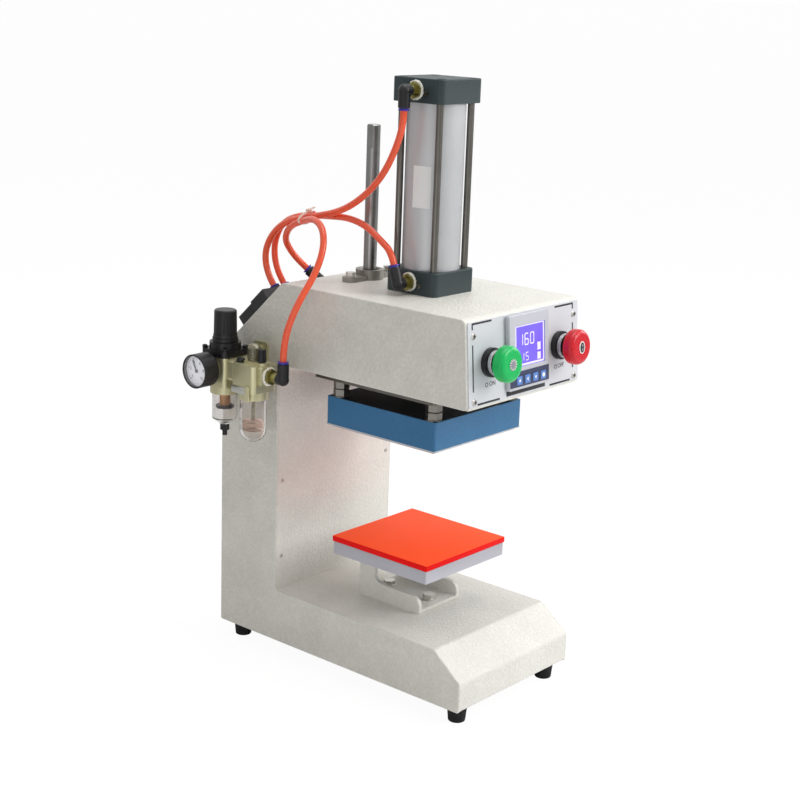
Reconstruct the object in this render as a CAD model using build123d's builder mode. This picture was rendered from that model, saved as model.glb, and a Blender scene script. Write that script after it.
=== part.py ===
from build123d import *
from math import atan2, cos, degrees, pi, radians, sin, sqrt, tan
import os

# Pneumatic label heat press, millimetres. +Z is up, the front looks along -Y.
# X = 0 is the plane of symmetry and the air cylinder stands on the Z axis.

# Sheet steel frame, outer faces
frame_width = 212.0
sheet = 3.0
foot_height = 20.0
base_front_y = -154.0
base_lip_top_z = 56.0
deck_front_y = -114.0
deck_z = 87.0
column_front_y = 143.0
head_under_z = 376.0
head_top_z = 476.0
head_front_low_y = -146.0
head_front_top_y = -138.0
slant_top_y = 139.0
slant_foot_z = 380.0
rear_y = 241.0
bend_radius = 7.0
throat_radius = 16.0
plate_edge_round = 1.4
cover_lap = 14.0
cover_gap = 0.2
fold_gap = 0.5

# Inner plate that carries the cylinder and the guide
mount_plate_thickness = 12.0
mount_plate_front_y = -62.0
mount_plate_back_y = 126.0

# Rubber feet
foot_top_radius = 12.0
foot_bottom_radius = 10.0
foot_x = 85.0
foot_front_y = -136.0
foot_back_y = 220.0

# Air cylinder, 63 mm bore and 150 mm stroke
bore = 63.0
barrel_wall = 2.5
cap_side = 75.0
cap_round = 8.0
cap_height = 27.5
barrel_length = 191.0
rod_diameter = 20.0
piston_height = 30.0
piston_top_gap = 0.4
running_gap = 0.05
tie_rod_offset = 28.0
tie_rod_diameter = 8.0
tie_nut_radius = 5.5
tie_nut_height = 6.0
port_radius = 6.6
port_depth = 11.0
needle_screw_y = -15.0
needle_screw_drop = 3.0
needle_screw_radius = 3.0
nose_radius = 16.0

# Guide rod beside the cylinder
guide_y = 95.0
guide_diameter = 16.0
guide_top_z = 661.0
guide_flat_length = 27.0
guide_flat_width = 13.0
flange_ring_radius = 17.0
flange_ring_height = 12.0
flange_plate_height = 6.0
flange_bolt_x = 34.0
flange_ear_radius = 10.0

# Upper platen and what hangs it from the ram
press_travel = 137.5
stop_gap = 0.5
cover_half_width = 81.0
cover_front_y = -83.0
cover_back_y = 85.0
cover_height = 35.0
cover_wall = 2.0
heater_inset = 4.5
heater_lip = 3.0
heater_thickness = 18.0
board_gap = 0.4
carrier_thickness = 10.0
carrier_half_width = 80.0
carrier_front_y = -80.0
carrier_back_y = 108.0
carrier_head_gap = 2.0
leveller_offset = 70.5
leveller_y = 71.5
leveller_diameter = 10.0
rod_hole_gap = 3.0
rod_spigot_step = 3.0
guide_spigot_step = 2.5

# Lower platen
pad_side = 150.0
pad_thickness = 7.0
platen_side = 148.0
platen_thickness = 16.0
platen_y = 1.0
platen_z = 146.0

# Bracket under the lower platen, a folded channel
bracket_width = 77.0
bracket_plate = 5.0
bracket_front_y = -35.0
bracket_back_y = 62.0
bracket_low_z = 108.5
bracket_low_back_y = 16.0
bracket_tall_front_y = 37.0
bracket_front_round = 12.0
bracket_hollow_round = 16.0
bracket_bolt_front_y = -18.0
bracket_bolt_back_y = 46.0

# Control panel, sizes along the leaning front of the head
panel_side_margin = 3.0
panel_low = 3.0
panel_high = 97.0
panel_thickness = 1.5
panel_screw_inset = 9.0
panel_screw_low = 8.5
panel_screw_high = 81.5
button_inset = 38.0
button_up = 49.0
button_bezel_radius = 16.5
button_bezel_height = 5.0
collar_radius = 13.5
collar_height = 12.0
button_stem_radius = 8.0
button_thread_wall = 2.5
button_thread_length = 30.0
button_bore_gap = 0.1
stop_spigot_radius = 4.0
cap_radius = 20.5
cap_thickness = 14.0
start_travel = 5.0
stop_travel = 6.0
cap_air = 0.6

# Temperature and time controller
controller_half_width = 37.5
controller_low = 11.0
controller_split = 31.5
controller_high = 96.0
controller_proud = 6.0
controller_depth = 58.0
controller_body_inset = 4.0
cutout_gap = 0.5
window_left = -26.0
window_right = 30.0
window_low = 36.5
window_high = 83.5
window_inset = 1.2
window_thickness = 2.0
key_side = 9.5
key_gap = 0.4
key_travel = 0.5
key_height = 1.8
key_pocket = 1.6
key_spacing = 15.0
key_row_x = 3.0

# Air filter, regulator and lubricator on the left side plate
air_x = -144.0
port_z = 372.0
regulator_y = 195.0
lubricator_y = 146.0
outlet_boss = 7.0
inlet_boss = 4.0
unit_side = 38.0
regulator_low_z = 339.0
regulator_high_z = 386.0
lubricator_low_z = 341.0
lubricator_high_z = 384.0
lubricator_pad = 3.0
joiner_width = 30.0
joiner_height = 26.0
joiner_round = 4.0
unit_plate_width = 22.0
unit_plate_height = 56.0
unit_plate_thickness = 3.0
unit_arm_height = 20.0
unit_screw_offset = 20.0
unit_screw_radius = 4.5
unit_screw_height = 3.0
air_thread_radius = 5.9
air_thread_depth = 12.0
bonnet_flange_side = 42.0
bonnet_flange_height = 8.0
bonnet_radius = 19.0
bonnet_neck_radius = 15.5
bonnet_height = 21.0
knob_radius = 14.0
knob_height = 33.0
knob_gap = 0.6
knob_lift = 3.0
spindle_radius = 4.0
gauge_radius = 20.5
gauge_face_x = -194.0
gauge_depth = 23.0
gauge_stem_radius = 6.5
gauge_rim = 2.0
gauge_well = 5.0
lens_thickness = 1.2
filter_bowl_radius = 15.5
bowl_wall = 2.0
filter_bowl_low_z = 300.0
drain_radius = 5.0
drain_length = 15.0
drain_gap = 0.3
drain_knob_height = 8.0
drain_spout_radius = 3.0
lubricator_bowl_radius = 16.0
lubricator_bowl_low_z = 289.0
dome_radius = 7.5
dome_height = 20.0
oil_knob_radius = 4.5
oil_knob_height = 15.0
oil_knob_offset = 14.0

# Air fittings and hoses
hose_diameter = 8.0
elbow_radius = 6.9
elbow_knuckle = 7.3
elbow_reach = 20.0
unit_elbow_reach = 23.0
elbow_socket = 7.5
adapter_hex = 6.0
adapter_flat = 17.0
leg_body = 19.0
collar_length = 3.0
release_radius = 6.5
collar_air = 0.15
top_port_drop = 13.5
bottom_elbow_lean = 18.0

# Solenoid valve on the slanted back of the head, measured down the slant
valve_left_x = -64.0
valve_right_x = 18.0
valve_start = 48.0
valve_width = 22.0
valve_height = 18.0
coil_left_x = -90.0
coil_height = 22.0
connector_end = 106.0
valve_port_a_x = -56.0
valve_port_b_x = -38.0
valve_port_along = 59.0
valve_fitting_height = 8.0
supply_elbow_x = -8.0
supply_elbow_lean = 27.0
supply_elbow_reach = 17.0

# Cross-head screws of the column front and of the rear cover
frame_screw_inset = 10.0
COLUMN_SCREW_HEIGHTS = (130.0, 228.0)
REAR_SCREW_HEIGHTS = (40.0, 200.0, 352.0)

# Hose routes, from fitting face to fitting face, chosen by hand from the photograph
TOP_ROUTE = [
    (-58.0, 9.0, 644.0),
    (-58.0, 27.0, 612.0),
    (-58.0, 55.0, 584.0),
    (-58.0, 92.0, 562.0),
    (-58.0, 141.0, 550.0),
    (-58.0, 181.0, 541.0),
    (-58.0, 207.0, 520.0),
    (-58.0, 218.0, 494.0),
]
BOTTOM_ROUTE = [
    (-58.0, 27.0, 536.0),
    (-57.0, 50.0, 550.0),
    (-53.0, 83.0, 556.0),
    (-49.5, 122.0, 553.0),
    (-48.0, 164.0, 549.0),
    (-44.0, 197.0, 538.0),
    (-40.0, 216.0, 517.0),
    (-38.0, 221.5, 492.0),
]
SUPPLY_ROUTE = [
    (-143.0, 91.0, 437.0),
    (-134.0, 82.0, 468.0),
    (-116.0, 76.0, 496.0),
    (-101.0, 77.0, 524.0),
    (-92.0, 87.0, 546.0),
    (-79.0, 114.0, 553.5),
    (-67.5, 144.0, 546.0),
    (-62.0, 170.0, 536.5),
    (-51.0, 189.5, 520.0),
    (-39.0, 197.0, 506.0),
]
LAST_RUN = 18.0

# Derived sizes
half_width = frame_width / 2
inner_half = half_width - sheet
panel_width = frame_width - 2 * panel_side_margin
panel_screw_x = panel_width / 2 - panel_screw_inset
button_x = panel_width / 2 - button_inset
drain_low_z = filter_bowl_low_z - drain_length
frame_screw_x = half_width - frame_screw_inset
piston_radius = bore / 2 - running_gap
barrel_low_z = head_top_z + cap_height
barrel_high_z = barrel_low_z + barrel_length
cylinder_top_z = barrel_high_z + cap_height
piston_low_z = barrel_high_z - piston_top_gap - piston_height
carrier_top_z = head_under_z - carrier_head_gap
carrier_low_z = carrier_top_z - carrier_thickness
platen_top_z = platen_z + platen_thickness
pad_top_z = platen_top_z + pad_thickness
heater_low_z = pad_top_z + press_travel + stop_gap
cover_low_z = heater_low_z + heater_lip
cover_top_z = cover_low_z + cover_height
board_low_z = heater_low_z + heater_thickness
column_low_z = deck_z - sheet
lean = degrees(atan2(head_front_top_y - head_front_low_y, head_top_z - head_under_z))
slant_run = sqrt((rear_y - slant_top_y) ** 2 + (head_top_z - slant_foot_z) ** 2)
slant_down = Vector(0, (rear_y - slant_top_y) / slant_run, -(head_top_z - slant_foot_z) / slant_run)
slant_out = Vector(0, (head_top_z - slant_foot_z) / slant_run, (rear_y - slant_top_y) / slant_run)
panel_out = Vector(0, -cos(radians(lean)), sin(radians(lean)))
head_front = Plane(origin=(0, head_front_low_y, head_under_z), x_dir=(1, 0, 0), z_dir=panel_out)
panel_face = head_front.offset(panel_thickness)
slant_face = Plane(origin=(0, slant_top_y, head_top_z), x_dir=(1, 0, 0), z_dir=slant_out)
OUTLINE = [
    (base_front_y, foot_height),
    (base_front_y, base_lip_top_z),
    (deck_front_y, deck_z),
    (column_front_y, deck_z),
    (column_front_y, head_under_z),
    (head_front_low_y, head_under_z),
    (head_front_top_y, head_top_z),
    (slant_top_y, head_top_z),
    (rear_y, slant_foot_z),
    (rear_y, foot_height),
]
OUTLINE_RADII = [3.0, bend_radius, bend_radius, 3.0, throat_radius, 5.0, bend_radius,
                 bend_radius, bend_radius, 3.0]


def on_slant(x, down, out):
    """Point at X, a distance down the slanted back and a distance out from it."""
    return Vector(x, slant_top_y, head_top_z) + slant_down * down + slant_out * out


def save(builder, name):
    """Label one finished sub-part and write its STEP file."""
    builder.part.label = name
    export_step(builder.part, "parts/" + name + ".step")


def tube_radii(points):
    """Bend radius at each inner corner: as large as its two runs allow."""
    radii = []
    for before, corner, after in zip(points, points[1:], points[2:]):
        incoming = corner - before
        outgoing = after - corner
        half_turn = radians(incoming.get_angle(outgoing)) / 2
        shorter = min(incoming.length, outgoing.length)
        radii.append(0.45 * shorter / tan(half_turn))
    return radii


os.makedirs("parts", exist_ok=True)

# Side plates, cut to the whole C of the frame
for name, x_outer, direction in (("side_plate_left", -half_width, 1), ("side_plate_right", half_width, -1)):
    with BuildPart() as side_plate:
        with BuildSketch(Plane.YZ.offset(x_outer)):
            with BuildLine():
                FilletPolyline(*OUTLINE, radius=OUTLINE_RADII, close=True)
            make_face()
        extrude(amount=sheet * direction)
        outer_face = side_plate.faces().filter_by(Axis.X).sort_by(Axis.X)[0 if direction > 0 else -1]
        fillet(outer_face.edges(), radius=plate_edge_round)
    save(side_plate, name)

# Deck of the base: front lip, chamfer and top in one folded sheet
with BuildPart() as base_deck:
    with BuildSketch(Plane.YZ):
        with BuildLine():
            FilletPolyline(
                (base_front_y, foot_height + sheet), (base_front_y, base_lip_top_z),
                (deck_front_y, deck_z), (column_front_y, deck_z),
                radius=[bend_radius, bend_radius])
            offset(amount=sheet, side=Side.RIGHT)
        make_face()
    extrude(amount=inner_half, both=True)
    with Locations((0, bracket_bolt_front_y, deck_z), (0, bracket_bolt_back_y, deck_z)):
        Hole(radius=4.2, depth=sheet)
save(base_deck, "base_deck")

# Column front and head underside, folded round the throat
with BuildPart() as throat_skin:
    with BuildSketch(Plane.YZ):
        with BuildLine():
            FilletPolyline(
                (column_front_y, column_low_z), (column_front_y, head_under_z),
                (head_front_low_y + sheet + fold_gap, head_under_z), radius=[throat_radius])
            offset(amount=sheet, side=Side.RIGHT)
        make_face()
    extrude(amount=inner_half, both=True)
    with Locations((0, 0, head_under_z + sheet)):
        Hole(radius=rod_diameter / 2 + rod_hole_gap, depth=sheet)
    with Locations((0, guide_y, head_under_z + sheet)):
        Hole(radius=guide_diameter / 2 + rod_hole_gap, depth=sheet)
save(throat_skin, "throat_skin")

# Front and top of the head, folded, with the first stretch of the slant
with BuildPart() as head_skin:
    with BuildSketch(Plane.YZ):
        lap_end = on_slant(0, cover_lap, 0)
        with BuildLine():
            FilletPolyline(
                (head_front_low_y, head_under_z), (head_front_top_y, head_top_z),
                (slant_top_y, head_top_z), (lap_end.Y, lap_end.Z),
                radius=[bend_radius, bend_radius])
            offset(amount=sheet, side=Side.RIGHT)
        make_face()
    extrude(amount=inner_half, both=True)
    with BuildSketch(head_front):
        with Locations((0, (controller_low + controller_high) / 2)):
            Rectangle(
                2 * (controller_half_width - controller_body_inset + cutout_gap),
                controller_high - controller_low - 2 * (controller_body_inset - cutout_gap))
        with Locations((-button_x, button_up), (button_x, button_up)):
            Circle(button_stem_radius + 3.0)
    extrude(amount=-2 * sheet, mode=Mode.SUBTRACT)
    with Locations((0, 0, head_top_z)):
        Hole(radius=nose_radius + 1.0, depth=sheet)
    with Locations((0, guide_y, head_top_z)):
        Hole(radius=guide_diameter / 2 + 4.0, depth=sheet)
save(head_skin, "head_skin")

# Rear cover, from the slant down to the base
with BuildPart() as rear_cover:
    with BuildSketch(Plane.YZ):
        cover_start = on_slant(0, cover_lap + cover_gap, 0)
        with BuildLine():
            FilletPolyline(
                (cover_start.Y, cover_start.Z), (rear_y, slant_foot_z),
                (rear_y, foot_height + sheet), radius=[bend_radius])
            offset(amount=sheet, side=Side.RIGHT)
        make_face()
    extrude(amount=inner_half, both=True)
    with BuildSketch(Plane.XZ.offset(-rear_y)):
        with Locations((-60, 60)):
            Circle(8.1)
        with GridLocations(10, 0, 9, 1):
            with Locations((0, 320)):
                SlotOverall(34, 4, rotation=90)
    extrude(amount=2 * sheet, both=True, mode=Mode.SUBTRACT)
save(rear_cover, "rear_cover")

# Floor of the frame
with BuildPart() as base_plate:
    with BuildSketch(Plane.XY.offset(foot_height)):
        with Locations((0, (base_front_y + rear_y) / 2)):
            Rectangle(2 * inner_half, rear_y - base_front_y - 6.0)
        with Locations(*[(x, y) for x in (-foot_x, foot_x) for y in (foot_front_y, foot_back_y)]):
            Circle(3.2, mode=Mode.SUBTRACT)
    extrude(amount=sheet)
save(base_plate, "base_plate")

# Thick plate inside the head
with BuildPart() as mount_plate:
    with BuildSketch(Plane.XY.offset(head_top_z - sheet - mount_plate_thickness)):
        with Locations((0, (mount_plate_front_y + mount_plate_back_y) / 2)):
            Rectangle(2 * inner_half, mount_plate_back_y - mount_plate_front_y)
        Circle(nose_radius + 1.0, mode=Mode.SUBTRACT)
        with Locations((0, guide_y)):
            Circle(guide_diameter / 2 + 4.0, mode=Mode.SUBTRACT)
    extrude(amount=mount_plate_thickness)
save(mount_plate, "mount_plate")

# Four rubber feet
with BuildPart() as rubber_feet:
    for foot_place_x in (-foot_x, foot_x):
        for foot_place_y in (foot_front_y, foot_back_y):
            with BuildSketch(Plane.XY):
                with Locations((foot_place_x, foot_place_y)):
                    Circle(foot_bottom_radius)
            with BuildSketch(Plane.XY.offset(foot_height)):
                with Locations((foot_place_x, foot_place_y)):
                    Circle(foot_top_radius)
            loft()
    bottom_edges = rubber_feet.edges().filter_by(GeomType.CIRCLE).group_by(Axis.Z)[0]
    fillet(bottom_edges, radius=1.5)
    with Locations(*[(x, y, 0) for x in (-foot_x, foot_x) for y in (foot_front_y, foot_back_y)]):
        Cylinder(radius=5, height=6, align=(Align.CENTER, Align.CENTER, Align.MIN), mode=Mode.SUBTRACT)
save(rubber_feet, "rubber_feet")

# Cable gland for the mains lead, low on the rear cover
gland_plane = Plane(origin=(-60, rear_y, 60), x_dir=(-1, 0, 0), z_dir=(0, 1, 0))
with BuildPart() as cable_gland:
    with BuildSketch(gland_plane):
        RegularPolygon(radius=11, side_count=6)
    extrude(amount=6)
    with BuildSketch(gland_plane.offset(6)):
        Circle(9.5)
    extrude(amount=12, taper=8)
    with BuildSketch(gland_plane):
        Circle(8)
    extrude(amount=-10)
    with BuildSketch(gland_plane.offset(18)):
        Circle(4)
    extrude(amount=-28, mode=Mode.SUBTRACT)
save(cable_gland, "cable_gland")

# Cylinder caps
def cap_block(low_z):
    """Square cap with rounded corners."""
    with BuildSketch(Plane.XY.offset(low_z)) as square:
        RectangleRounded(cap_side, cap_side, cap_round)
    extrude(square.sketch, amount=cap_height)


def cap_port(port_height):
    """Threaded port and the small needle screw hole beside it, on the left face."""
    left_face = Plane(origin=(-cap_side / 2, 0, port_height), x_dir=(0, 1, 0), z_dir=(-1, 0, 0))
    with BuildSketch(left_face) as port_circle:
        Circle(port_radius)
    extrude(port_circle.sketch, amount=-port_depth, mode=Mode.SUBTRACT)
    with BuildSketch(left_face) as screw_circle:
        with Locations((needle_screw_y, needle_screw_drop)):
            Circle(needle_screw_radius + 0.2)
    extrude(screw_circle.sketch, amount=-4, mode=Mode.SUBTRACT)


lower_port_z = head_top_z + 14.0
upper_port_z = cylinder_top_z - top_port_drop
TIE_PLACES = [(x, y) for x in (-tie_rod_offset, tie_rod_offset) for y in (-tie_rod_offset, tie_rod_offset)]
with BuildPart() as lower_cap:
    cap_block(head_top_z)
    with BuildSketch(Plane.XY.offset(head_top_z)):
        Circle(nose_radius)
    extrude(amount=-sheet)
    with BuildSketch(Plane.XY.offset(head_top_z - sheet)):
        Circle(rod_diameter / 2 + running_gap)
    extrude(amount=sheet + cap_height, mode=Mode.SUBTRACT)
    with BuildSketch(Plane.XY.offset(head_top_z)):
        with Locations(*TIE_PLACES):
            Circle(tie_rod_diameter / 2 + 0.1)
    extrude(amount=cap_height, mode=Mode.SUBTRACT)
    cap_port(lower_port_z)
    top_rim = lower_cap.faces().filter_by(Axis.Z).sort_by(Axis.Z)[-1].outer_wire().edges()
    fillet(top_rim, radius=1.2)
save(lower_cap, "lower_cap")

with BuildPart() as upper_cap:
    cap_block(barrel_high_z)
    with BuildSketch(Plane.XY.offset(barrel_high_z)):
        with Locations(*TIE_PLACES):
            Circle(tie_rod_diameter / 2 + 0.1)
    extrude(amount=cap_height, mode=Mode.SUBTRACT)
    with BuildSketch(Plane.XY.offset(cylinder_top_z)):
        with Locations(*TIE_PLACES):
            Circle(tie_nut_radius + 0.6)
    extrude(amount=-tie_nut_height - 1.5, mode=Mode.SUBTRACT)
    cap_port(upper_port_z)
    rim_edges = upper_cap.faces().filter_by(Axis.Z).sort_by(Axis.Z)[-1].outer_wire().edges()
    fillet(rim_edges, radius=1.2)
save(upper_cap, "upper_cap")

with BuildPart() as barrel:
    with BuildSketch(Plane.XY.offset(barrel_low_z)):
        Circle(bore / 2 + barrel_wall)
        Circle(bore / 2, mode=Mode.SUBTRACT)
    extrude(amount=barrel_length)
save(barrel, "barrel")

with BuildPart() as cylinder_fasteners:
    with BuildSketch(Plane.XY.offset(head_top_z + 6.0)):
        with Locations(*TIE_PLACES):
            Circle(tie_rod_diameter / 2)
    extrude(amount=cylinder_top_z - tie_nut_height - 1.5 - head_top_z - 6.0)
    with BuildSketch(Plane.XY.offset(cylinder_top_z - tie_nut_height - 1.5)):
        with Locations(*TIE_PLACES):
            Circle(tie_nut_radius)
    extrude(amount=tie_nut_height)
    with BuildSketch(Plane.XY.offset(cylinder_top_z - 1.5)):
        with Locations(*TIE_PLACES):
            RegularPolygon(radius=3.2, side_count=6)
    extrude(amount=-3.5, mode=Mode.SUBTRACT)
    for screw_z in (lower_port_z - needle_screw_drop, upper_port_z - needle_screw_drop):
        screw_face = Plane(origin=(-cap_side / 2, needle_screw_y, screw_z), x_dir=(0, 1, 0), z_dir=(-1, 0, 0))
        with BuildSketch(screw_face.offset(-4)):
            Circle(needle_screw_radius)
        extrude(amount=4.6)
        with BuildSketch(screw_face.offset(0.6)):
            Rectangle(6.4, 0.9, rotation=35)
        extrude(amount=-1.2, mode=Mode.SUBTRACT)
save(cylinder_fasteners, "cylinder_fasteners")

# Guide flange on the head, two ears and a long bush through the plate
with BuildPart() as guide_flange:
    with BuildSketch(Plane.XY.offset(head_top_z)):
        with Locations((0, guide_y)):
            SlotCenterToCenter(2 * flange_bolt_x, 2 * flange_ear_radius)
            Circle(flange_ring_radius)
    extrude(amount=flange_plate_height)
    with BuildSketch(Plane.XY.offset(head_top_z)):
        with Locations((0, guide_y)):
            Circle(flange_ring_radius)
    extrude(amount=flange_ring_height)
    with BuildSketch(Plane.XY.offset(head_top_z)):
        with Locations((0, guide_y)):
            Circle(guide_diameter / 2 + 3.8)
    extrude(amount=-sheet - mount_plate_thickness - 12.0)
    with BuildSketch(Plane.XY.offset(head_top_z + flange_ring_height)):
        with Locations((0, guide_y)):
            Circle(guide_diameter / 2 + 5.0)
    extrude(amount=-4.0, taper=20, mode=Mode.SUBTRACT)
    with BuildSketch(Plane.XY.offset(head_top_z + flange_ring_height)):
        with Locations((0, guide_y)):
            Circle(guide_diameter / 2 + running_gap)
    extrude(amount=-80, mode=Mode.SUBTRACT)
save(guide_flange, "guide_flange")


def hex_bolt(place, across, head, washer_radius, washer):
    """Hexagon head on its washer, standing on a flat face at place."""
    x, y, z = place
    with BuildSketch(Plane.XY.offset(z)) as washer_disc:
        with Locations((x, y)):
            Circle(washer_radius)
    extrude(washer_disc.sketch, amount=washer)
    with BuildSketch(Plane.XY.offset(z + washer)) as hexagon:
        with Locations((x, y)):
            RegularPolygon(radius=across / 2, side_count=6, major_radius=False)
    extrude(hexagon.sketch, amount=head)


bracket_floor_z = deck_z + bracket_plate

# Folded bracket under the lower platen
with BuildPart() as platen_bracket:
    with BuildSketch(Plane.YZ):
        with BuildLine():
            side_outline = [
                (bracket_front_y, deck_z), (bracket_back_y, deck_z), (bracket_back_y, platen_z),
                (bracket_tall_front_y, platen_z), (bracket_tall_front_y, bracket_low_z + 3.0),
                (bracket_low_back_y, bracket_low_z), (bracket_front_y, bracket_low_z)]
            FilletPolyline(
                *side_outline, radius=[2.0, 2.0, 2.0, 2.0, bracket_hollow_round * 0.5, 4.0,
                                       bracket_front_round], close=True)
        make_face()
    extrude(amount=bracket_width / 2, both=True)
    with BuildSketch(Plane.XZ.offset(-bracket_back_y - 5)):
        with Locations((0, bracket_floor_z + 60)):
            RectangleRounded(bracket_width - 2 * bracket_plate, 120, 3.0)
    extrude(amount=200, mode=Mode.SUBTRACT)
    with Locations((0, bracket_bolt_front_y, bracket_floor_z), (0, bracket_bolt_back_y, bracket_floor_z)):
        Hole(radius=4.2, depth=bracket_plate)
save(platen_bracket, "platen_bracket")

with BuildPart() as lower_platen:
    with BuildSketch(Plane.XY.offset(platen_z)):
        with Locations((0, platen_y)):
            RectangleRounded(platen_side, platen_side, 1.5)
    extrude(amount=platen_thickness)
    chamfer(lower_platen.faces().sort_by(Axis.Z)[-1].edges(), length=0.6)
save(lower_platen, "lower_platen")

with BuildPart() as silicone_pad:
    with BuildSketch(Plane.XY.offset(platen_top_z)):
        with Locations((0, platen_y)):
            RectangleRounded(pad_side, pad_side, 2.0)
    extrude(amount=pad_thickness)
    fillet(silicone_pad.faces().sort_by(Axis.Z)[-1].edges(), radius=0.8)
save(silicone_pad, "silicone_pad")

# Ram: piston, rods, carrier plate, levelling bolts and the heated platen
with BuildPart() as piston_rod:
    with BuildSketch(Plane.XY.offset(carrier_top_z)):
        Circle(rod_diameter / 2)
    extrude(amount=piston_low_z - carrier_top_z)
    with BuildSketch(Plane.XY.offset(piston_low_z)):
        Circle(piston_radius)
    extrude(amount=piston_height)
    chamfer(piston_rod.faces().sort_by(Axis.Z)[-1].edges(), length=1.5)
    with BuildSketch(Plane.XY.offset(carrier_top_z)):
        Circle(rod_diameter / 2 - rod_spigot_step)
    extrude(amount=-carrier_thickness)
save(piston_rod, "piston_rod")

with BuildPart() as guide_rod:
    with BuildSketch(Plane.XY.offset(carrier_top_z)):
        with Locations((0, guide_y)):
            Circle(guide_diameter / 2)
    extrude(amount=guide_top_z - carrier_top_z)
    chamfer(guide_rod.faces().sort_by(Axis.Z)[-1].edges(), length=1.0)
    with BuildSketch(Plane.XY.offset(guide_top_z)):
        with Locations((0, guide_y)):
            Rectangle(guide_diameter + 2, guide_diameter + 2)
            Rectangle(guide_flat_width, guide_diameter + 4, mode=Mode.SUBTRACT)
    extrude(amount=-guide_flat_length, mode=Mode.SUBTRACT)
    with BuildSketch(Plane.XY.offset(carrier_top_z)):
        with Locations((0, guide_y)):
            Circle(guide_diameter / 2 - guide_spigot_step)
    extrude(amount=-carrier_thickness)
save(guide_rod, "guide_rod")

LEVELLER_PLACES = [(x, y) for x in (-leveller_offset, leveller_offset) for y in (-leveller_y, leveller_y)]
with BuildPart() as carrier_plate:
    with BuildSketch(Plane.XY.offset(carrier_low_z)):
        with Locations((0, (carrier_front_y + carrier_back_y) / 2)):
            RectangleRounded(2 * carrier_half_width, carrier_back_y - carrier_front_y, 4.0)
        Circle(rod_diameter / 2 - rod_spigot_step, mode=Mode.SUBTRACT)
        with Locations((0, guide_y)):
            Circle(guide_diameter / 2 - guide_spigot_step, mode=Mode.SUBTRACT)
        with Locations(*LEVELLER_PLACES):
            Circle(leveller_diameter / 2, mode=Mode.SUBTRACT)
    extrude(amount=carrier_thickness)
save(carrier_plate, "carrier_plate")

with BuildPart() as levelling_bolts:
    with BuildSketch(Plane.XY.offset(cover_top_z)):
        with Locations(*LEVELLER_PLACES):
            Circle(leveller_diameter / 2)
    extrude(amount=carrier_top_z - cover_top_z)
    with BuildSketch(Plane.XY.offset(cover_top_z)):
        with Locations(*LEVELLER_PLACES):
            Circle(10.0)
    extrude(amount=1.6)
    for nut_low_z in (cover_top_z + 1.6, carrier_low_z - 8.0):
        with BuildSketch(Plane.XY.offset(nut_low_z)):
            with Locations(*LEVELLER_PLACES):
                RegularPolygon(radius=8.5, side_count=6, major_radius=False)
        extrude(amount=8.0)
save(levelling_bolts, "levelling_bolts")

platen_mid_y = (cover_front_y + cover_back_y) / 2
platen_depth = cover_back_y - cover_front_y
with BuildPart() as heater_cover:
    with BuildSketch(Plane.XY.offset(cover_low_z)):
        with Locations((0, platen_mid_y)):
            RectangleRounded(2 * cover_half_width, platen_depth, 2.5)
            Rectangle(2 * (cover_half_width - cover_wall), platen_depth - 2 * cover_wall, mode=Mode.SUBTRACT)
    extrude(amount=cover_height)
save(heater_cover, "heater_cover")

with BuildPart() as heater_plate:
    with BuildSketch(Plane.XY.offset(heater_low_z)):
        with Locations((0, platen_mid_y)):
            RectangleRounded(
                2 * (cover_half_width - heater_inset), platen_depth - 2 * heater_inset, 1.0)
    extrude(amount=heater_thickness)
    chamfer(heater_plate.faces().sort_by(Axis.Z)[0].edges(), length=0.8)
save(heater_plate, "heater_plate")

with BuildPart() as insulation_board:
    with BuildSketch(Plane.XY.offset(board_low_z)):
        with Locations((0, platen_mid_y)):
            Rectangle(2 * (cover_half_width - cover_wall - board_gap), platen_depth - 2 * (cover_wall + board_gap))
    extrude(amount=cover_top_z - board_low_z)
save(insulation_board, "insulation_board")

# Control panel on the leaning front
with BuildPart() as control_panel:
    with BuildSketch(head_front):
        with Locations((0, (panel_low + panel_high) / 2)):
            RectangleRounded(panel_width, panel_high - panel_low, 2.0)
        with Locations((0, (controller_low + controller_high) / 2)):
            Rectangle(
                2 * (controller_half_width - controller_body_inset + cutout_gap),
                controller_high - controller_low - 2 * (controller_body_inset - cutout_gap),
                mode=Mode.SUBTRACT)
        with Locations((-button_x, button_up), (button_x, button_up)):
            Circle(button_stem_radius + 3.0, mode=Mode.SUBTRACT)
    extrude(amount=panel_thickness)
save(control_panel, "control_panel")

# Controller: bezel on the panel, body behind it, window and key pockets
key_mid_up = (controller_low + controller_split) / 2
KEY_PLACES = [(key_row_x + key_spacing * (step - 1.5), key_mid_up) for step in range(4)]
with BuildPart() as controller_case:
    with BuildSketch(panel_face):
        with Locations((0, (controller_low + controller_high) / 2)):
            RectangleRounded(2 * controller_half_width, controller_high - controller_low, 2.0)
    extrude(amount=controller_proud)
    chamfer(controller_case.faces().sort_by(Axis.Y)[0].edges(), length=1.0)
    with BuildSketch(panel_face):
        with Locations((0, (controller_low + controller_high) / 2)):
            Rectangle(
                2 * (controller_half_width - controller_body_inset),
                controller_high - controller_low - 2 * controller_body_inset)
    extrude(amount=-controller_depth)
    with BuildSketch(panel_face.offset(controller_proud)):
        with Locations(((window_left + window_right) / 2, (window_low + window_high) / 2)):
            Rectangle(window_right - window_left, window_high - window_low)
    extrude(amount=-window_inset - window_thickness, mode=Mode.SUBTRACT)
    with BuildSketch(panel_face.offset(controller_proud)):
        with Locations(*KEY_PLACES):
            RectangleRounded(key_side + 2 * key_gap, key_side + 2 * key_gap, 1.2)
    extrude(amount=-key_pocket, mode=Mode.SUBTRACT)
save(controller_case, "controller_case")

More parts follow.
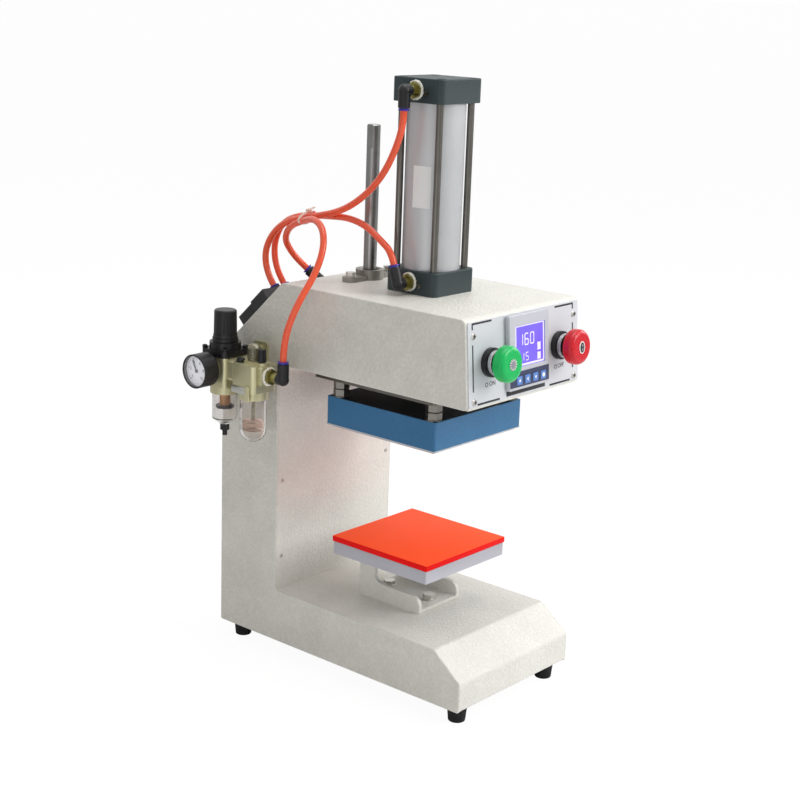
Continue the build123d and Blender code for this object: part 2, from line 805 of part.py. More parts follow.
with BuildPart() as display_window:
    with BuildSketch(panel_face.offset(controller_proud - window_inset - window_thickness)):
        with Locations(((window_left + window_right) / 2, (window_low + window_high) / 2)):
            Rectangle(window_right - window_left, window_high - window_low)
    extrude(amount=window_thickness)
save(display_window, "display_window")

for name, (key_x, key_up) in zip(("key_one", "key_two", "key_three", "key_four"), KEY_PLACES):
    with BuildPart() as panel_key:
        with BuildSketch(panel_face.offset(controller_proud - key_pocket + key_travel + 0.1)):
            with Locations((key_x, key_up)):
                RectangleRounded(key_side, key_side, 1.0)
        extrude(amount=key_height)
        fillet(panel_key.faces().sort_by(Axis.Y)[0].edges(), radius=0.4)
    save(panel_key, name)

# Push buttons: bezel and collar on the panel, mushroom caps that travel
with BuildPart() as button_collars:
    for collar_x in (-button_x, button_x):
        with BuildSketch(panel_face):
            with Locations((collar_x, button_up)):
                Circle(button_bezel_radius)
        extrude(amount=button_bezel_height)
        with BuildSketch(panel_face.offset(button_bezel_height)):
            with Locations((collar_x, button_up)):
                Circle(collar_radius)
        extrude(amount=collar_height - button_bezel_height)
        with BuildSketch(panel_face):
            with Locations((collar_x, button_up)):
                Circle(button_stem_radius + button_thread_wall)
        extrude(amount=-button_thread_length)
        with BuildSketch(panel_face.offset(collar_height)):
            with Locations((collar_x, button_up)):
                Circle(button_stem_radius + button_bore_gap)
        extrude(amount=-collar_height - button_thread_length - 2.0, mode=Mode.SUBTRACT)
save(button_collars, "button_collars")


def mushroom(plane, x, travel):
    """Round cap standing off its collar by its travel."""
    with BuildSketch(plane.offset(collar_height + travel + cap_air)) as disc:
        with Locations((x, button_up)):
            Circle(cap_radius)
    extrude(disc.sketch, amount=cap_thickness)


with BuildPart() as start_button:
    mushroom(panel_face, -button_x, start_travel)
    fillet(start_button.edges().filter_by(GeomType.CIRCLE).sort_by(Axis.Y)[0], radius=6.0)
    fillet(start_button.edges().filter_by(GeomType.CIRCLE).sort_by(Axis.Y)[-1], radius=2.5)
    with BuildSketch(panel_face.offset(collar_height + start_travel + cap_air)):
        with Locations((-button_x, button_up)):
            Circle(button_stem_radius)
    extrude(amount=-collar_height - start_travel - 8)
save(start_button, "start_button")

with BuildPart() as stop_stem:
    with BuildSketch(panel_face.offset(-8)):
        with Locations((button_x, button_up)):
            Circle(button_stem_radius)
    extrude(amount=8 + collar_height + stop_travel + cap_air - 0.3)
    with BuildSketch(panel_face.offset(collar_height)):
        with Locations((button_x, button_up)):
            Circle(stop_spigot_radius)
    extrude(amount=stop_travel + cap_air + 8.0)
save(stop_stem, "stop_stem")

with BuildPart() as stop_button:
    mushroom(panel_face, button_x, stop_travel)
    fillet(stop_button.edges().filter_by(GeomType.CIRCLE).sort_by(Axis.Y)[0], radius=6.0)
    fillet(stop_button.edges().filter_by(GeomType.CIRCLE).sort_by(Axis.Y)[-1], radius=2.5)
    with BuildSketch(panel_face.offset(collar_height + stop_travel + cap_air)):
        with Locations((button_x, button_up)):
            Circle(stop_spigot_radius + running_gap)
    extrude(amount=8.3, mode=Mode.SUBTRACT)
save(stop_button, "stop_button")


def pan_screw(plane, place, radius, height):
    """Cross-head screw: domed head on a face, with its recess."""
    with BuildSketch(plane) as head:
        with Locations(place):
            Circle(radius)
    extrude(head.sketch, amount=height, taper=25)
    with BuildSketch(plane.offset(height)) as cross:
        with Locations(place):
            Rectangle(radius * 1.1, radius * 0.25)
            Rectangle(radius * 0.25, radius * 1.1)
    extrude(cross.sketch, amount=-height * 0.6, mode=Mode.SUBTRACT)


column_face = Plane(origin=(0, column_front_y, 0), x_dir=(1, 0, 0), z_dir=(0, -1, 0))
rear_face = Plane(origin=(0, rear_y, 0), x_dir=(-1, 0, 0), z_dir=(0, 1, 0))
with BuildPart() as frame_fasteners:
    for screw_x in (-panel_screw_x, panel_screw_x):
        for screw_up in (panel_screw_low, panel_screw_high):
            pan_screw(panel_face, (screw_x, screw_up), 3.8, 1.8)
    for screw_x in (-frame_screw_x, frame_screw_x):
        for screw_up in COLUMN_SCREW_HEIGHTS:
            pan_screw(column_face, (screw_x, screw_up), 2.6, 1.2)
        for screw_up in REAR_SCREW_HEIGHTS:
            pan_screw(rear_face, (screw_x, screw_up), 3.8, 1.8)
    for bolt_y in (bracket_bolt_front_y, bracket_bolt_back_y):
        hex_bolt((0, bolt_y, bracket_floor_z), 13, 5.5, 8.5, 1.6)
        with BuildSketch(Plane.XY.offset(bracket_floor_z)):
            with Locations((0, bolt_y)):
                Circle(4)
        extrude(amount=-16)
    for bolt_x in (-flange_bolt_x, flange_bolt_x):
        hex_bolt((bolt_x, guide_y, head_top_z + flange_plate_height), 10, 4.5, 6.5, 1.2)
save(frame_fasteners, "frame_fasteners")

# Air treatment unit: filter regulator towards the back, lubricator towards the front
def unit_block(mid_y, low_z, high_z):
    """Square die-cast body on a round neck for its bowl."""
    with BuildSketch(Plane.XY.offset(low_z)) as neck:
        with Locations((air_x, mid_y)):
            Circle(unit_side / 2 - 1.0)
    extrude(neck.sketch, amount=10)
    with BuildSketch(Plane.XY.offset(low_z + 10)) as block:
        with Locations((air_x, mid_y)):
            RectangleRounded(unit_side, unit_side, 5.0)
    extrude(block.sketch, amount=high_z - low_z - 10)


gauge_back_x = gauge_face_x + gauge_depth
inlet_y = regulator_y + unit_side / 2 + inlet_boss
outlet_y = lubricator_y - unit_side / 2 - outlet_boss
joint_low_y = lubricator_y + unit_side / 2
joint_high_y = regulator_y - unit_side / 2
with BuildPart() as filter_regulator_body:
    unit_block(regulator_y, regulator_low_z, regulator_high_z)
    with BuildSketch(Plane(origin=(air_x, inlet_y, port_z), x_dir=(-1, 0, 0), z_dir=(0, 1, 0))):
        RectangleRounded(24, 24, 4)
    extrude(amount=-12)
    with BuildSketch(Plane(origin=(air_x, inlet_y, port_z), x_dir=(-1, 0, 0), z_dir=(0, 1, 0))):
        Circle(air_thread_radius)
    extrude(amount=-air_thread_depth, mode=Mode.SUBTRACT)
    with BuildSketch(Plane(origin=(air_x - unit_side / 2, regulator_y, port_z), x_dir=(0, 1, 0), z_dir=(-1, 0, 0))):
        Circle(9.5)
    extrude(amount=2.0)
    with BuildSketch(Plane.XY.offset(regulator_low_z)):
        with Locations((air_x, regulator_y)):
            Circle(filter_bowl_radius + 0.1)
    extrude(amount=6, mode=Mode.SUBTRACT)
save(filter_regulator_body, "filter_regulator_body")

with BuildPart() as lubricator_body:
    unit_block(lubricator_y, lubricator_low_z, lubricator_high_z)
    with BuildSketch(Plane(origin=(air_x, outlet_y, port_z), x_dir=(1, 0, 0), z_dir=(0, -1, 0))):
        RectangleRounded(24, 24, 4)
    extrude(amount=-12)
    with BuildSketch(Plane(origin=(air_x, outlet_y, port_z), x_dir=(1, 0, 0), z_dir=(0, -1, 0))):
        Circle(port_radius)
    extrude(amount=-port_depth, mode=Mode.SUBTRACT)
    with BuildSketch(Plane.XY.offset(lubricator_low_z)):
        with Locations((air_x, lubricator_y)):
            Circle(lubricator_bowl_radius + 0.1)
    extrude(amount=6, mode=Mode.SUBTRACT)
    with BuildSketch(Plane.XY.offset(lubricator_high_z)):
        with Locations((air_x, lubricator_y - 4.0)):
            SlotCenterToCenter(24, 17, rotation=90)
    extrude(amount=lubricator_pad)
save(lubricator_body, "lubricator_body")

# Joiner between the two units and the bracket that holds it to the side plate
with BuildPart() as unit_bracket:
    joint_mid_y = (joint_low_y + joint_high_y) / 2
    with BuildSketch(Plane(origin=(air_x, joint_low_y, port_z), x_dir=(1, 0, 0), z_dir=(0, 1, 0))):
        RectangleRounded(joiner_width, joiner_height, joiner_round)
    extrude(amount=joint_high_y - joint_low_y)
    with BuildSketch(Plane(origin=(-half_width, joint_mid_y, port_z), x_dir=(0, 1, 0), z_dir=(-1, 0, 0))):
        RectangleRounded(unit_plate_width, unit_plate_height, 3.0)
    extrude(amount=unit_plate_thickness)
    with BuildSketch(Plane.XY.offset(port_z - unit_arm_height / 2)):
        with Locations((-half_width, joint_mid_y)):
            Rectangle(-air_x - half_width, joint_high_y - joint_low_y, align=(Align.MAX, Align.CENTER))
    extrude(amount=unit_arm_height)
    unit_plate_face = Plane(
        origin=(-half_width - unit_plate_thickness, joint_mid_y, port_z), x_dir=(0, 1, 0), z_dir=(-1, 0, 0))
    with BuildSketch(unit_plate_face):
        with Locations((0, -unit_screw_offset), (0, unit_screw_offset)):
            Circle(unit_screw_radius)
    extrude(amount=unit_screw_height)
save(unit_bracket, "unit_bracket")

bonnet_low_z = regulator_high_z
with BuildPart() as regulator_bonnet:
    with BuildSketch(Plane.XY.offset(bonnet_low_z)):
        with Locations((air_x, regulator_y)):
            RectangleRounded(bonnet_flange_side, bonnet_flange_side, 6.0)
    extrude(amount=bonnet_flange_height)
    with BuildSketch(Plane.XY.offset(bonnet_low_z + bonnet_flange_height)):
        with Locations((air_x, regulator_y)):
            Circle(bonnet_radius)
    extrude(amount=bonnet_height - bonnet_flange_height - 5.0)
    with BuildSketch(Plane.XY.offset(bonnet_low_z + bonnet_height - 5.0)):
        with Locations((air_x, regulator_y)):
            Circle(bonnet_neck_radius)
    extrude(amount=5.0)
    with BuildSketch(Plane.XY.offset(bonnet_low_z + bonnet_flange_height)):
        with Locations((air_x, regulator_y)):
            with GridLocations(33, 33, 2, 2):
                Circle(2.6)
    extrude(amount=2.0)
    with BuildSketch(Plane.XY.offset(bonnet_low_z + bonnet_height)):
        with Locations((air_x, regulator_y)):
            Circle(spindle_radius + running_gap)
    extrude(amount=-14.0, mode=Mode.SUBTRACT)
save(regulator_bonnet, "regulator_bonnet")

knob_low_z = bonnet_low_z + bonnet_height + knob_gap
with BuildPart() as regulator_spindle:
    with BuildSketch(Plane.XY.offset(bonnet_low_z + bonnet_height - 13.5)):
        with Locations((air_x, regulator_y)):
            Circle(spindle_radius)
    extrude(amount=13.5 + knob_gap + 20.0)
save(regulator_spindle, "regulator_spindle")

with BuildPart() as regulator_knob:
    with BuildSketch(Plane.XY.offset(knob_low_z)):
        with Locations((air_x, regulator_y)):
            Circle(knob_radius + 0.6)
    extrude(amount=3.0)
    with BuildSketch(Plane.XY.offset(knob_low_z + 3.0)):
        with Locations((air_x, regulator_y)):
            Circle(knob_radius)
    extrude(amount=knob_height - 3.0, taper=1.0)
    fillet(regulator_knob.faces().sort_by(Axis.Z)[-1].edges(), radius=2.0)
    with BuildSketch(Plane.XY.offset(knob_low_z + 5.0)):
        with Locations((air_x, regulator_y)):
            with PolarLocations(knob_radius + 0.3, 18):
                Circle(0.9)
    extrude(amount=knob_height, mode=Mode.SUBTRACT)
    with BuildSketch(Plane.XY.offset(knob_low_z)):
        with Locations((air_x, regulator_y)):
            Circle(spindle_radius + running_gap)
    extrude(amount=20.0 + knob_lift + 0.5, mode=Mode.SUBTRACT)
save(regulator_knob, "regulator_knob")

# Pressure gauge, facing left
gauge_front = Plane(origin=(gauge_face_x, regulator_y, port_z), x_dir=(0, -1, 0), z_dir=(-1, 0, 0))
with BuildPart() as gauge_case:
    with BuildSketch(gauge_front):
        Circle(gauge_radius)
    extrude(amount=-gauge_depth)
    fillet(gauge_case.edges().filter_by(GeomType.CIRCLE).sort_by(Axis.X)[-1], radius=3.0)
    with BuildSketch(gauge_front.offset(-gauge_depth)):
        Circle(gauge_stem_radius)
    extrude(amount=-(air_x - unit_side / 2 - 2.0 - gauge_back_x))
    with BuildSketch(gauge_front):
        Circle(gauge_radius - gauge_rim)
    extrude(amount=-gauge_well, mode=Mode.SUBTRACT)
    with BuildSketch(gauge_front.offset(-gauge_well)):
        Circle(1.0)
    extrude(amount=1.0)
save(gauge_case, "gauge_case")

with BuildPart() as gauge_lens:
    with BuildSketch(gauge_front.offset(-0.4 - lens_thickness)):
        Circle(gauge_radius - gauge_rim)
    extrude(amount=lens_thickness)
save(gauge_lens, "gauge_lens")

needle_angle = 118.0
with BuildPart() as gauge_needle:
    with BuildSketch(gauge_front.offset(-gauge_well + 1.1)):
        Circle(2.2)
        with Locations(Location((0, 0), needle_angle)):
            Trapezoid(14.0, 1.6, 87, align=(Align.MIN, Align.CENTER))
        Circle(1.05, mode=Mode.SUBTRACT)
    extrude(amount=0.6)
save(gauge_needle, "gauge_needle")

# Bowls, filter cartridge, drain
with BuildPart() as filter_bowl:
    with BuildSketch(Plane.XZ.offset(-regulator_y)):
        with BuildLine():
            Polyline(
                (air_x, filter_bowl_low_z), (air_x + 7.0, filter_bowl_low_z),
                (air_x + filter_bowl_radius, filter_bowl_low_z + 7.0),
                (air_x + filter_bowl_radius, regulator_low_z + 5.8),
                (air_x + filter_bowl_radius - bowl_wall, regulator_low_z + 5.8),
                (air_x + filter_bowl_radius - bowl_wall, filter_bowl_low_z + 8.0),
                (air_x + 6.0, filter_bowl_low_z + bowl_wall), (air_x, filter_bowl_low_z + bowl_wall),
                close=True)
        make_face()
    revolve(axis=Axis((air_x, regulator_y, 0), (0, 0, 1)))
save(filter_bowl, "filter_bowl")

with BuildPart() as filter_element:
    with BuildSketch(Plane.XY.offset(regulator_low_z + 6.0)):
        with Locations((air_x, regulator_y)):
            Circle(6.5)
    extrude(amount=-22)
    with BuildSketch(Plane.XY.offset(regulator_low_z - 16.0)):
        with Locations((air_x, regulator_y)):
            RegularPolygon(radius=11.0, side_count=8)
    extrude(amount=-3)
save(filter_element, "filter_element")

with BuildPart() as drain_cock:
    with BuildSketch(Plane.XY.offset(filter_bowl_low_z - drain_gap)):
        with Locations((air_x, regulator_y)):
            Circle(drain_radius)
            with PolarLocations(drain_radius, 10):
                Circle(0.7)
    extrude(amount=-drain_knob_height)
    with BuildSketch(Plane.XY.offset(filter_bowl_low_z - drain_gap - drain_knob_height)):
        with Locations((air_x, regulator_y)):
            Circle(drain_spout_radius)
    extrude(amount=-(filter_bowl_low_z - drain_gap - drain_knob_height - drain_low_z))
save(drain_cock, "drain_cock")

with BuildPart() as lubricator_bowl:
    with BuildSketch(Plane.XZ.offset(-lubricator_y)):
        bowl_inner = lubricator_bowl_radius - bowl_wall
        with BuildLine():
            top_line = Polyline(
                (air_x + 8.0, lubricator_bowl_low_z),
                (air_x, lubricator_bowl_low_z),
                (air_x, lubricator_bowl_low_z + bowl_wall),
                (air_x + 6.0, lubricator_bowl_low_z + bowl_wall))
            RadiusArc(
                (air_x + 6.0, lubricator_bowl_low_z + bowl_wall),
                (air_x + bowl_inner, lubricator_bowl_low_z + 14.0), -13.0)
            Polyline(
                (air_x + bowl_inner, lubricator_bowl_low_z + 14.0),
                (air_x + bowl_inner, lubricator_low_z + 5.8),
                (air_x + lubricator_bowl_radius, lubricator_low_z + 5.8),
                (air_x + lubricator_bowl_radius, lubricator_bowl_low_z + 14.0))
            RadiusArc(
                (air_x + lubricator_bowl_radius, lubricator_bowl_low_z + 14.0),
                (air_x + 8.0, lubricator_bowl_low_z), 15.0)
        make_face()
    revolve(axis=Axis((air_x, lubricator_y, 0), (0, 0, 1)))
save(lubricator_bowl, "lubricator_bowl")

deck_of_lubricator_z = lubricator_high_z + lubricator_pad
with BuildPart() as sight_dome:
    with BuildSketch(Plane.XY.offset(deck_of_lubricator_z)):
        with Locations((air_x, lubricator_y)):
            Circle(dome_radius)
    extrude(amount=dome_height)
    fillet(sight_dome.faces().sort_by(Axis.Z)[-1].edges(), radius=5.5)
    with BuildSketch(Plane.XY.offset(deck_of_lubricator_z)):
        with Locations((air_x, lubricator_y)):
            Circle(dome_radius - 1.5)
    extrude(amount=dome_height - 5.0, mode=Mode.SUBTRACT)
save(sight_dome, "sight_dome")

with BuildPart() as oil_knob:
    with BuildSketch(Plane.XY.offset(deck_of_lubricator_z + 0.3)):
        with Locations((air_x, lubricator_y - oil_knob_offset)):
            Circle(oil_knob_radius)
            with PolarLocations(oil_knob_radius, 8):
                Circle(0.6)
    extrude(amount=oil_knob_height, taper=2.0)
save(oil_knob, "oil_knob")

# Solenoid valve on the slanted back
with BuildPart() as valve_body:
    with BuildSketch(slant_face):
        with Locations(((valve_left_x + valve_right_x) / 2, valve_start + valve_width / 2)):
            Rectangle(valve_right_x - valve_left_x, valve_width)
    extrude(amount=valve_height)
    chamfer(valve_body.faces().sort_by(Axis.X)[-1].edges(), length=1.5)
save(valve_body, "valve_body")

with BuildPart() as valve_coil:
    with BuildSketch(slant_face):
        with Locations(((coil_left_x + valve_left_x) / 2, valve_start + valve_width / 2 + 3.0)):
            Rectangle(valve_left_x - coil_left_x, valve_width + 6.0)
    extrude(amount=coil_height)
    with BuildSketch(slant_face.offset(2.0)):
        with Locations(((coil_left_x + valve_left_x) / 2, (valve_start + valve_width + 6.0 + connector_end) / 2)):
            Rectangle(valve_left_x - coil_left_x - 2.0, connector_end - valve_start - valve_width - 6.0)
    extrude(amount=coil_height - 4.0)
    chamfer(valve_coil.faces().sort_by(Axis.X)[0].edges(), length=0.8)
save(valve_coil, "valve_coil")

# Elbow centres, the way to each port and the way each leg points
bottom_lean = radians(bottom_elbow_lean)
supply_lean = radians(supply_elbow_lean)
top_elbow = Vector(-cap_side / 2 - elbow_reach, 0, upper_port_z)
bottom_elbow = Vector(-cap_side / 2 - elbow_reach, 0, lower_port_z)
unit_elbow = Vector(air_x, outlet_y - unit_elbow_reach, port_z)
supply_elbow = on_slant(supply_elbow_x, valve_start - supply_elbow_reach, 12.0)
ELBOWS = [
    (top_elbow, Vector(1, 0, 0), elbow_reach, Vector(0, 0, -1)),
    (bottom_elbow, Vector(1, 0, 0), elbow_reach, Vector(0, sin(bottom_lean), cos(bottom_lean))),
    (unit_elbow, Vector(0, 1, 0), unit_elbow_reach, Vector(0, 0, 1)),
    (supply_elbow, slant_down, supply_elbow_reach,
     slant_out * cos(supply_lean) - Vector(1, 0, 0) * sin(supply_lean)),
]
VALVE_PORTS = [
    on_slant(valve_port_a_x, valve_port_along, valve_height),
    on_slant(valve_port_b_x, valve_port_along, valve_height),
]

with BuildPart() as thread_adapters:
    for centre, to_port, reach, leg in ELBOWS:
        port_plane = Plane(origin=centre + to_port * reach, z_dir=to_port * -1)
        with BuildSketch(port_plane):
            RegularPolygon(radius=adapter_flat / 2, side_count=6, major_radius=False)
        extrude(amount=adapter_hex)
        with BuildSketch(port_plane):
            Circle(port_radius - 0.6)
        extrude(amount=reach - elbow_socket)
    for centre, to_port, reach, leg in ELBOWS[:3]:
        port_plane = Plane(origin=centre + to_port * reach, z_dir=to_port)
        with BuildSketch(port_plane):
            Circle(port_radius - 0.2)
        extrude(amount=8.0)
save(thread_adapters, "thread_adapters")

with BuildPart() as push_in_elbows:
    for centre, to_port, reach, leg in ELBOWS:
        with BuildSketch(Plane(origin=centre, z_dir=to_port)):
            Circle(elbow_radius)
        extrude(amount=elbow_socket)
        with Locations(centre):
            Sphere(radius=elbow_knuckle)
        with BuildSketch(Plane(origin=centre, z_dir=leg)):
            Circle(elbow_radius)
        extrude(amount=leg_body)
    for port in VALVE_PORTS:
        with BuildSketch(Plane(origin=port, z_dir=slant_out)):
            Circle(elbow_radius)
        extrude(amount=valve_fitting_height)
save(push_in_elbows, "push_in_elbows")

HOSE_SEATS = [(centre + leg * leg_body, leg) for centre, to_port, reach, leg in ELBOWS]
HOSE_SEATS += [(port + slant_out * valve_fitting_height, slant_out) for port in VALVE_PORTS]
with BuildPart() as release_collars:
    for seat, leg in HOSE_SEATS:
        with BuildSketch(Plane(origin=seat, z_dir=leg)):
            Circle(release_radius - 1.2)
            Circle(hose_diameter / 2 + collar_air, mode=Mode.SUBTRACT)
        extrude(amount=collar_length)
        with BuildSketch(Plane(origin=seat + leg * (collar_length - 1.4), z_dir=leg)):
            Circle(release_radius)
            Circle(hose_diameter / 2 + collar_air, mode=Mode.SUBTRACT)
        extrude(amount=1.4)
save(release_collars, "release_collars")

# Hoses: straight runs joined by tangent arcs between their two fittings
top_seat, bottom_seat, unit_seat, supply_seat, port_a_seat, port_b_seat = HOSE_SEATS
HOSES = [
    ("top_hose", [top_seat[0], top_seat[0] + top_seat[1] * LAST_RUN]
     + [Vector(*p) for p in TOP_ROUTE]
     + [port_a_seat[0] + port_a_seat[1] * LAST_RUN, port_a_seat[0]]),
    ("bottom_hose", [bottom_seat[0], bottom_seat[0] + bottom_seat[1] * LAST_RUN]
     + [Vector(*p) for p in BOTTOM_ROUTE]
     + [port_b_seat[0] + port_b_seat[1] * LAST_RUN, port_b_seat[0]]),
    ("supply_hose", [unit_seat[0], unit_seat[0] + unit_seat[1] * LAST_RUN]
     + [Vector(*p) for p in SUPPLY_ROUTE]
     + [supply_seat[0] + supply_seat[1] * LAST_RUN, supply_seat[0]]),
]
for name, points in HOSES:
    radii = tube_radii(points)
    with BuildPart() as hose:
        with BuildLine() as route:
            FilletPolyline(*points, radius=radii)
        with BuildSketch(Plane(origin=points[0], z_dir=points[1] - points[0])):
            Circle(hose_diameter / 2)
        sweep(path=route.wires()[0])
    length = route.wires()[0].length
    expected = pi * (hose_diameter / 2) ** 2 * length
    print(name, "radii", [round(r, 1) for r in radii])
    print(name, "length", round(length, 1), "volume ratio", round(hose.part.volume / expected, 5))
    save(hose, name)
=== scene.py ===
"""Looks of a pneumatic label heat press: finishes, hoses, prints, dials and the studio."""

import logging
import math
from dataclasses import dataclass
from enum import Enum
from typing import Dict, List, Optional, Sequence, Tuple, Union

import bpy
from mathutils import Matrix, Vector


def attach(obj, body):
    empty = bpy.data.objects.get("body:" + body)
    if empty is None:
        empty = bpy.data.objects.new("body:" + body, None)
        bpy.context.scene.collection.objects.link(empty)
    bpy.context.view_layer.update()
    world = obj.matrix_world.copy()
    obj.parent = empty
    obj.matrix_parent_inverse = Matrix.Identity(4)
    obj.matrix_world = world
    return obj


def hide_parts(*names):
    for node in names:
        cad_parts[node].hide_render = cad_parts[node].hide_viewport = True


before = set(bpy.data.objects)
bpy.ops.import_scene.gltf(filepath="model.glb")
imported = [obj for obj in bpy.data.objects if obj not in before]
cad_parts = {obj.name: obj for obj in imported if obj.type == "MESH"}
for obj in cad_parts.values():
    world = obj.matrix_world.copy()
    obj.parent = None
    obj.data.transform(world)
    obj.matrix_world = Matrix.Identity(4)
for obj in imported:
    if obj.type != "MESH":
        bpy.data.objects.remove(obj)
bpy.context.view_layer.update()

logging.basicConfig(level=logging.INFO, format="%(name)s: %(message)s")
log = logging.getLogger("heat_press")

MM = 0.001
SMOOTH_BELOW = math.radians(35)
BEVEL_SEGMENTS = 2
# What all finishes share: soft clouds of 55 mm, relief a quarter of a grain deep, and edges
# that count as worn from the first of two values of pointiness to the second
CLOUD_SCALE = 18.0
RELIEF_SHARE = 0.25
WORN_FROM = 0.53
WORN_TO = 0.62
COAT_ROUGHNESS = 0.12
LIGHT_DEPTH = 0.004
Colour = Tuple[float, float, float, float]
Pair = Tuple[float, float]
Point = Tuple[float, float, float]
Size = Tuple[float, float, float]
Area = Tuple[float, float, float, float]
Piece = bpy.types.Object
Tree = bpy.types.NodeTree
Socket = bpy.types.NodeSocket
Key = Union[str, int]


def colour(hex_value: str) -> Colour:
    """Turn an sRGB hex value into linear colour.

    Args:
        hex_value: Six hex digits.

    Returns:
        Linear red, green, blue and an alpha of 1.
    """
    channels = [int(hex_value[i:i + 2], 16) / 255 for i in (0, 2, 4)]
    linear = [c / 12.92 if c <= 0.04045 else ((c + 0.055) / 1.055) ** 2.4 for c in channels]
    return (linear[0], linear[1], linear[2], 1.0)


def shade(tone: Colour, factor: float, lift: float = 0.0) -> Colour:
    """Multiply a linear colour by a factor and add a lift, up to white."""
    red, green, blue = (min(1.0, channel * factor + lift) for channel in tone[:3])
    return (red, green, blue, 1.0)


def add_node(tree: Tree, kind: str, settings: Optional[Dict[Key, object]] = None,
             links: Optional[Dict[Key, Socket]] = None) -> bpy.types.Node:
    """Add one shader node with its settings and incoming links.

    Args:
        tree: Node tree of the material.
        kind: Blender's name of the node type.
        settings: Property names, input names or input numbers, and their values.
        links: Input names or numbers and the sockets that feed them.

    Returns:
        The new node.
    """
    node = tree.nodes.new(kind)
    for key, value in (settings or {}).items():
        if isinstance(key, int) or key in node.inputs:
            node.inputs[key].default_value = value
        else:
            setattr(node, key, value)
    for key, socket in (links or {}).items():
        tree.links.new(socket, node.inputs[key])
    return node


class Grain(Enum):
    """How a surface was made, with the stretch that this gives its pattern along X, Y and Z."""

    HAMMERED = "hammered", (1.0, 1.0, 1.0)
    MOULDED = "moulded", (1.0, 1.0, 1.0)
    CAST = "cast", (1.0, 1.0, 1.0)
    BRUSHED_UP = "brushed along Z", (1.0, 1.0, 0.02)
    BRUSHED_ACROSS = "brushed along X", (0.02, 1.0, 1.0)
    TURNED = "turned round Z", (0.05, 0.05, 1.0)


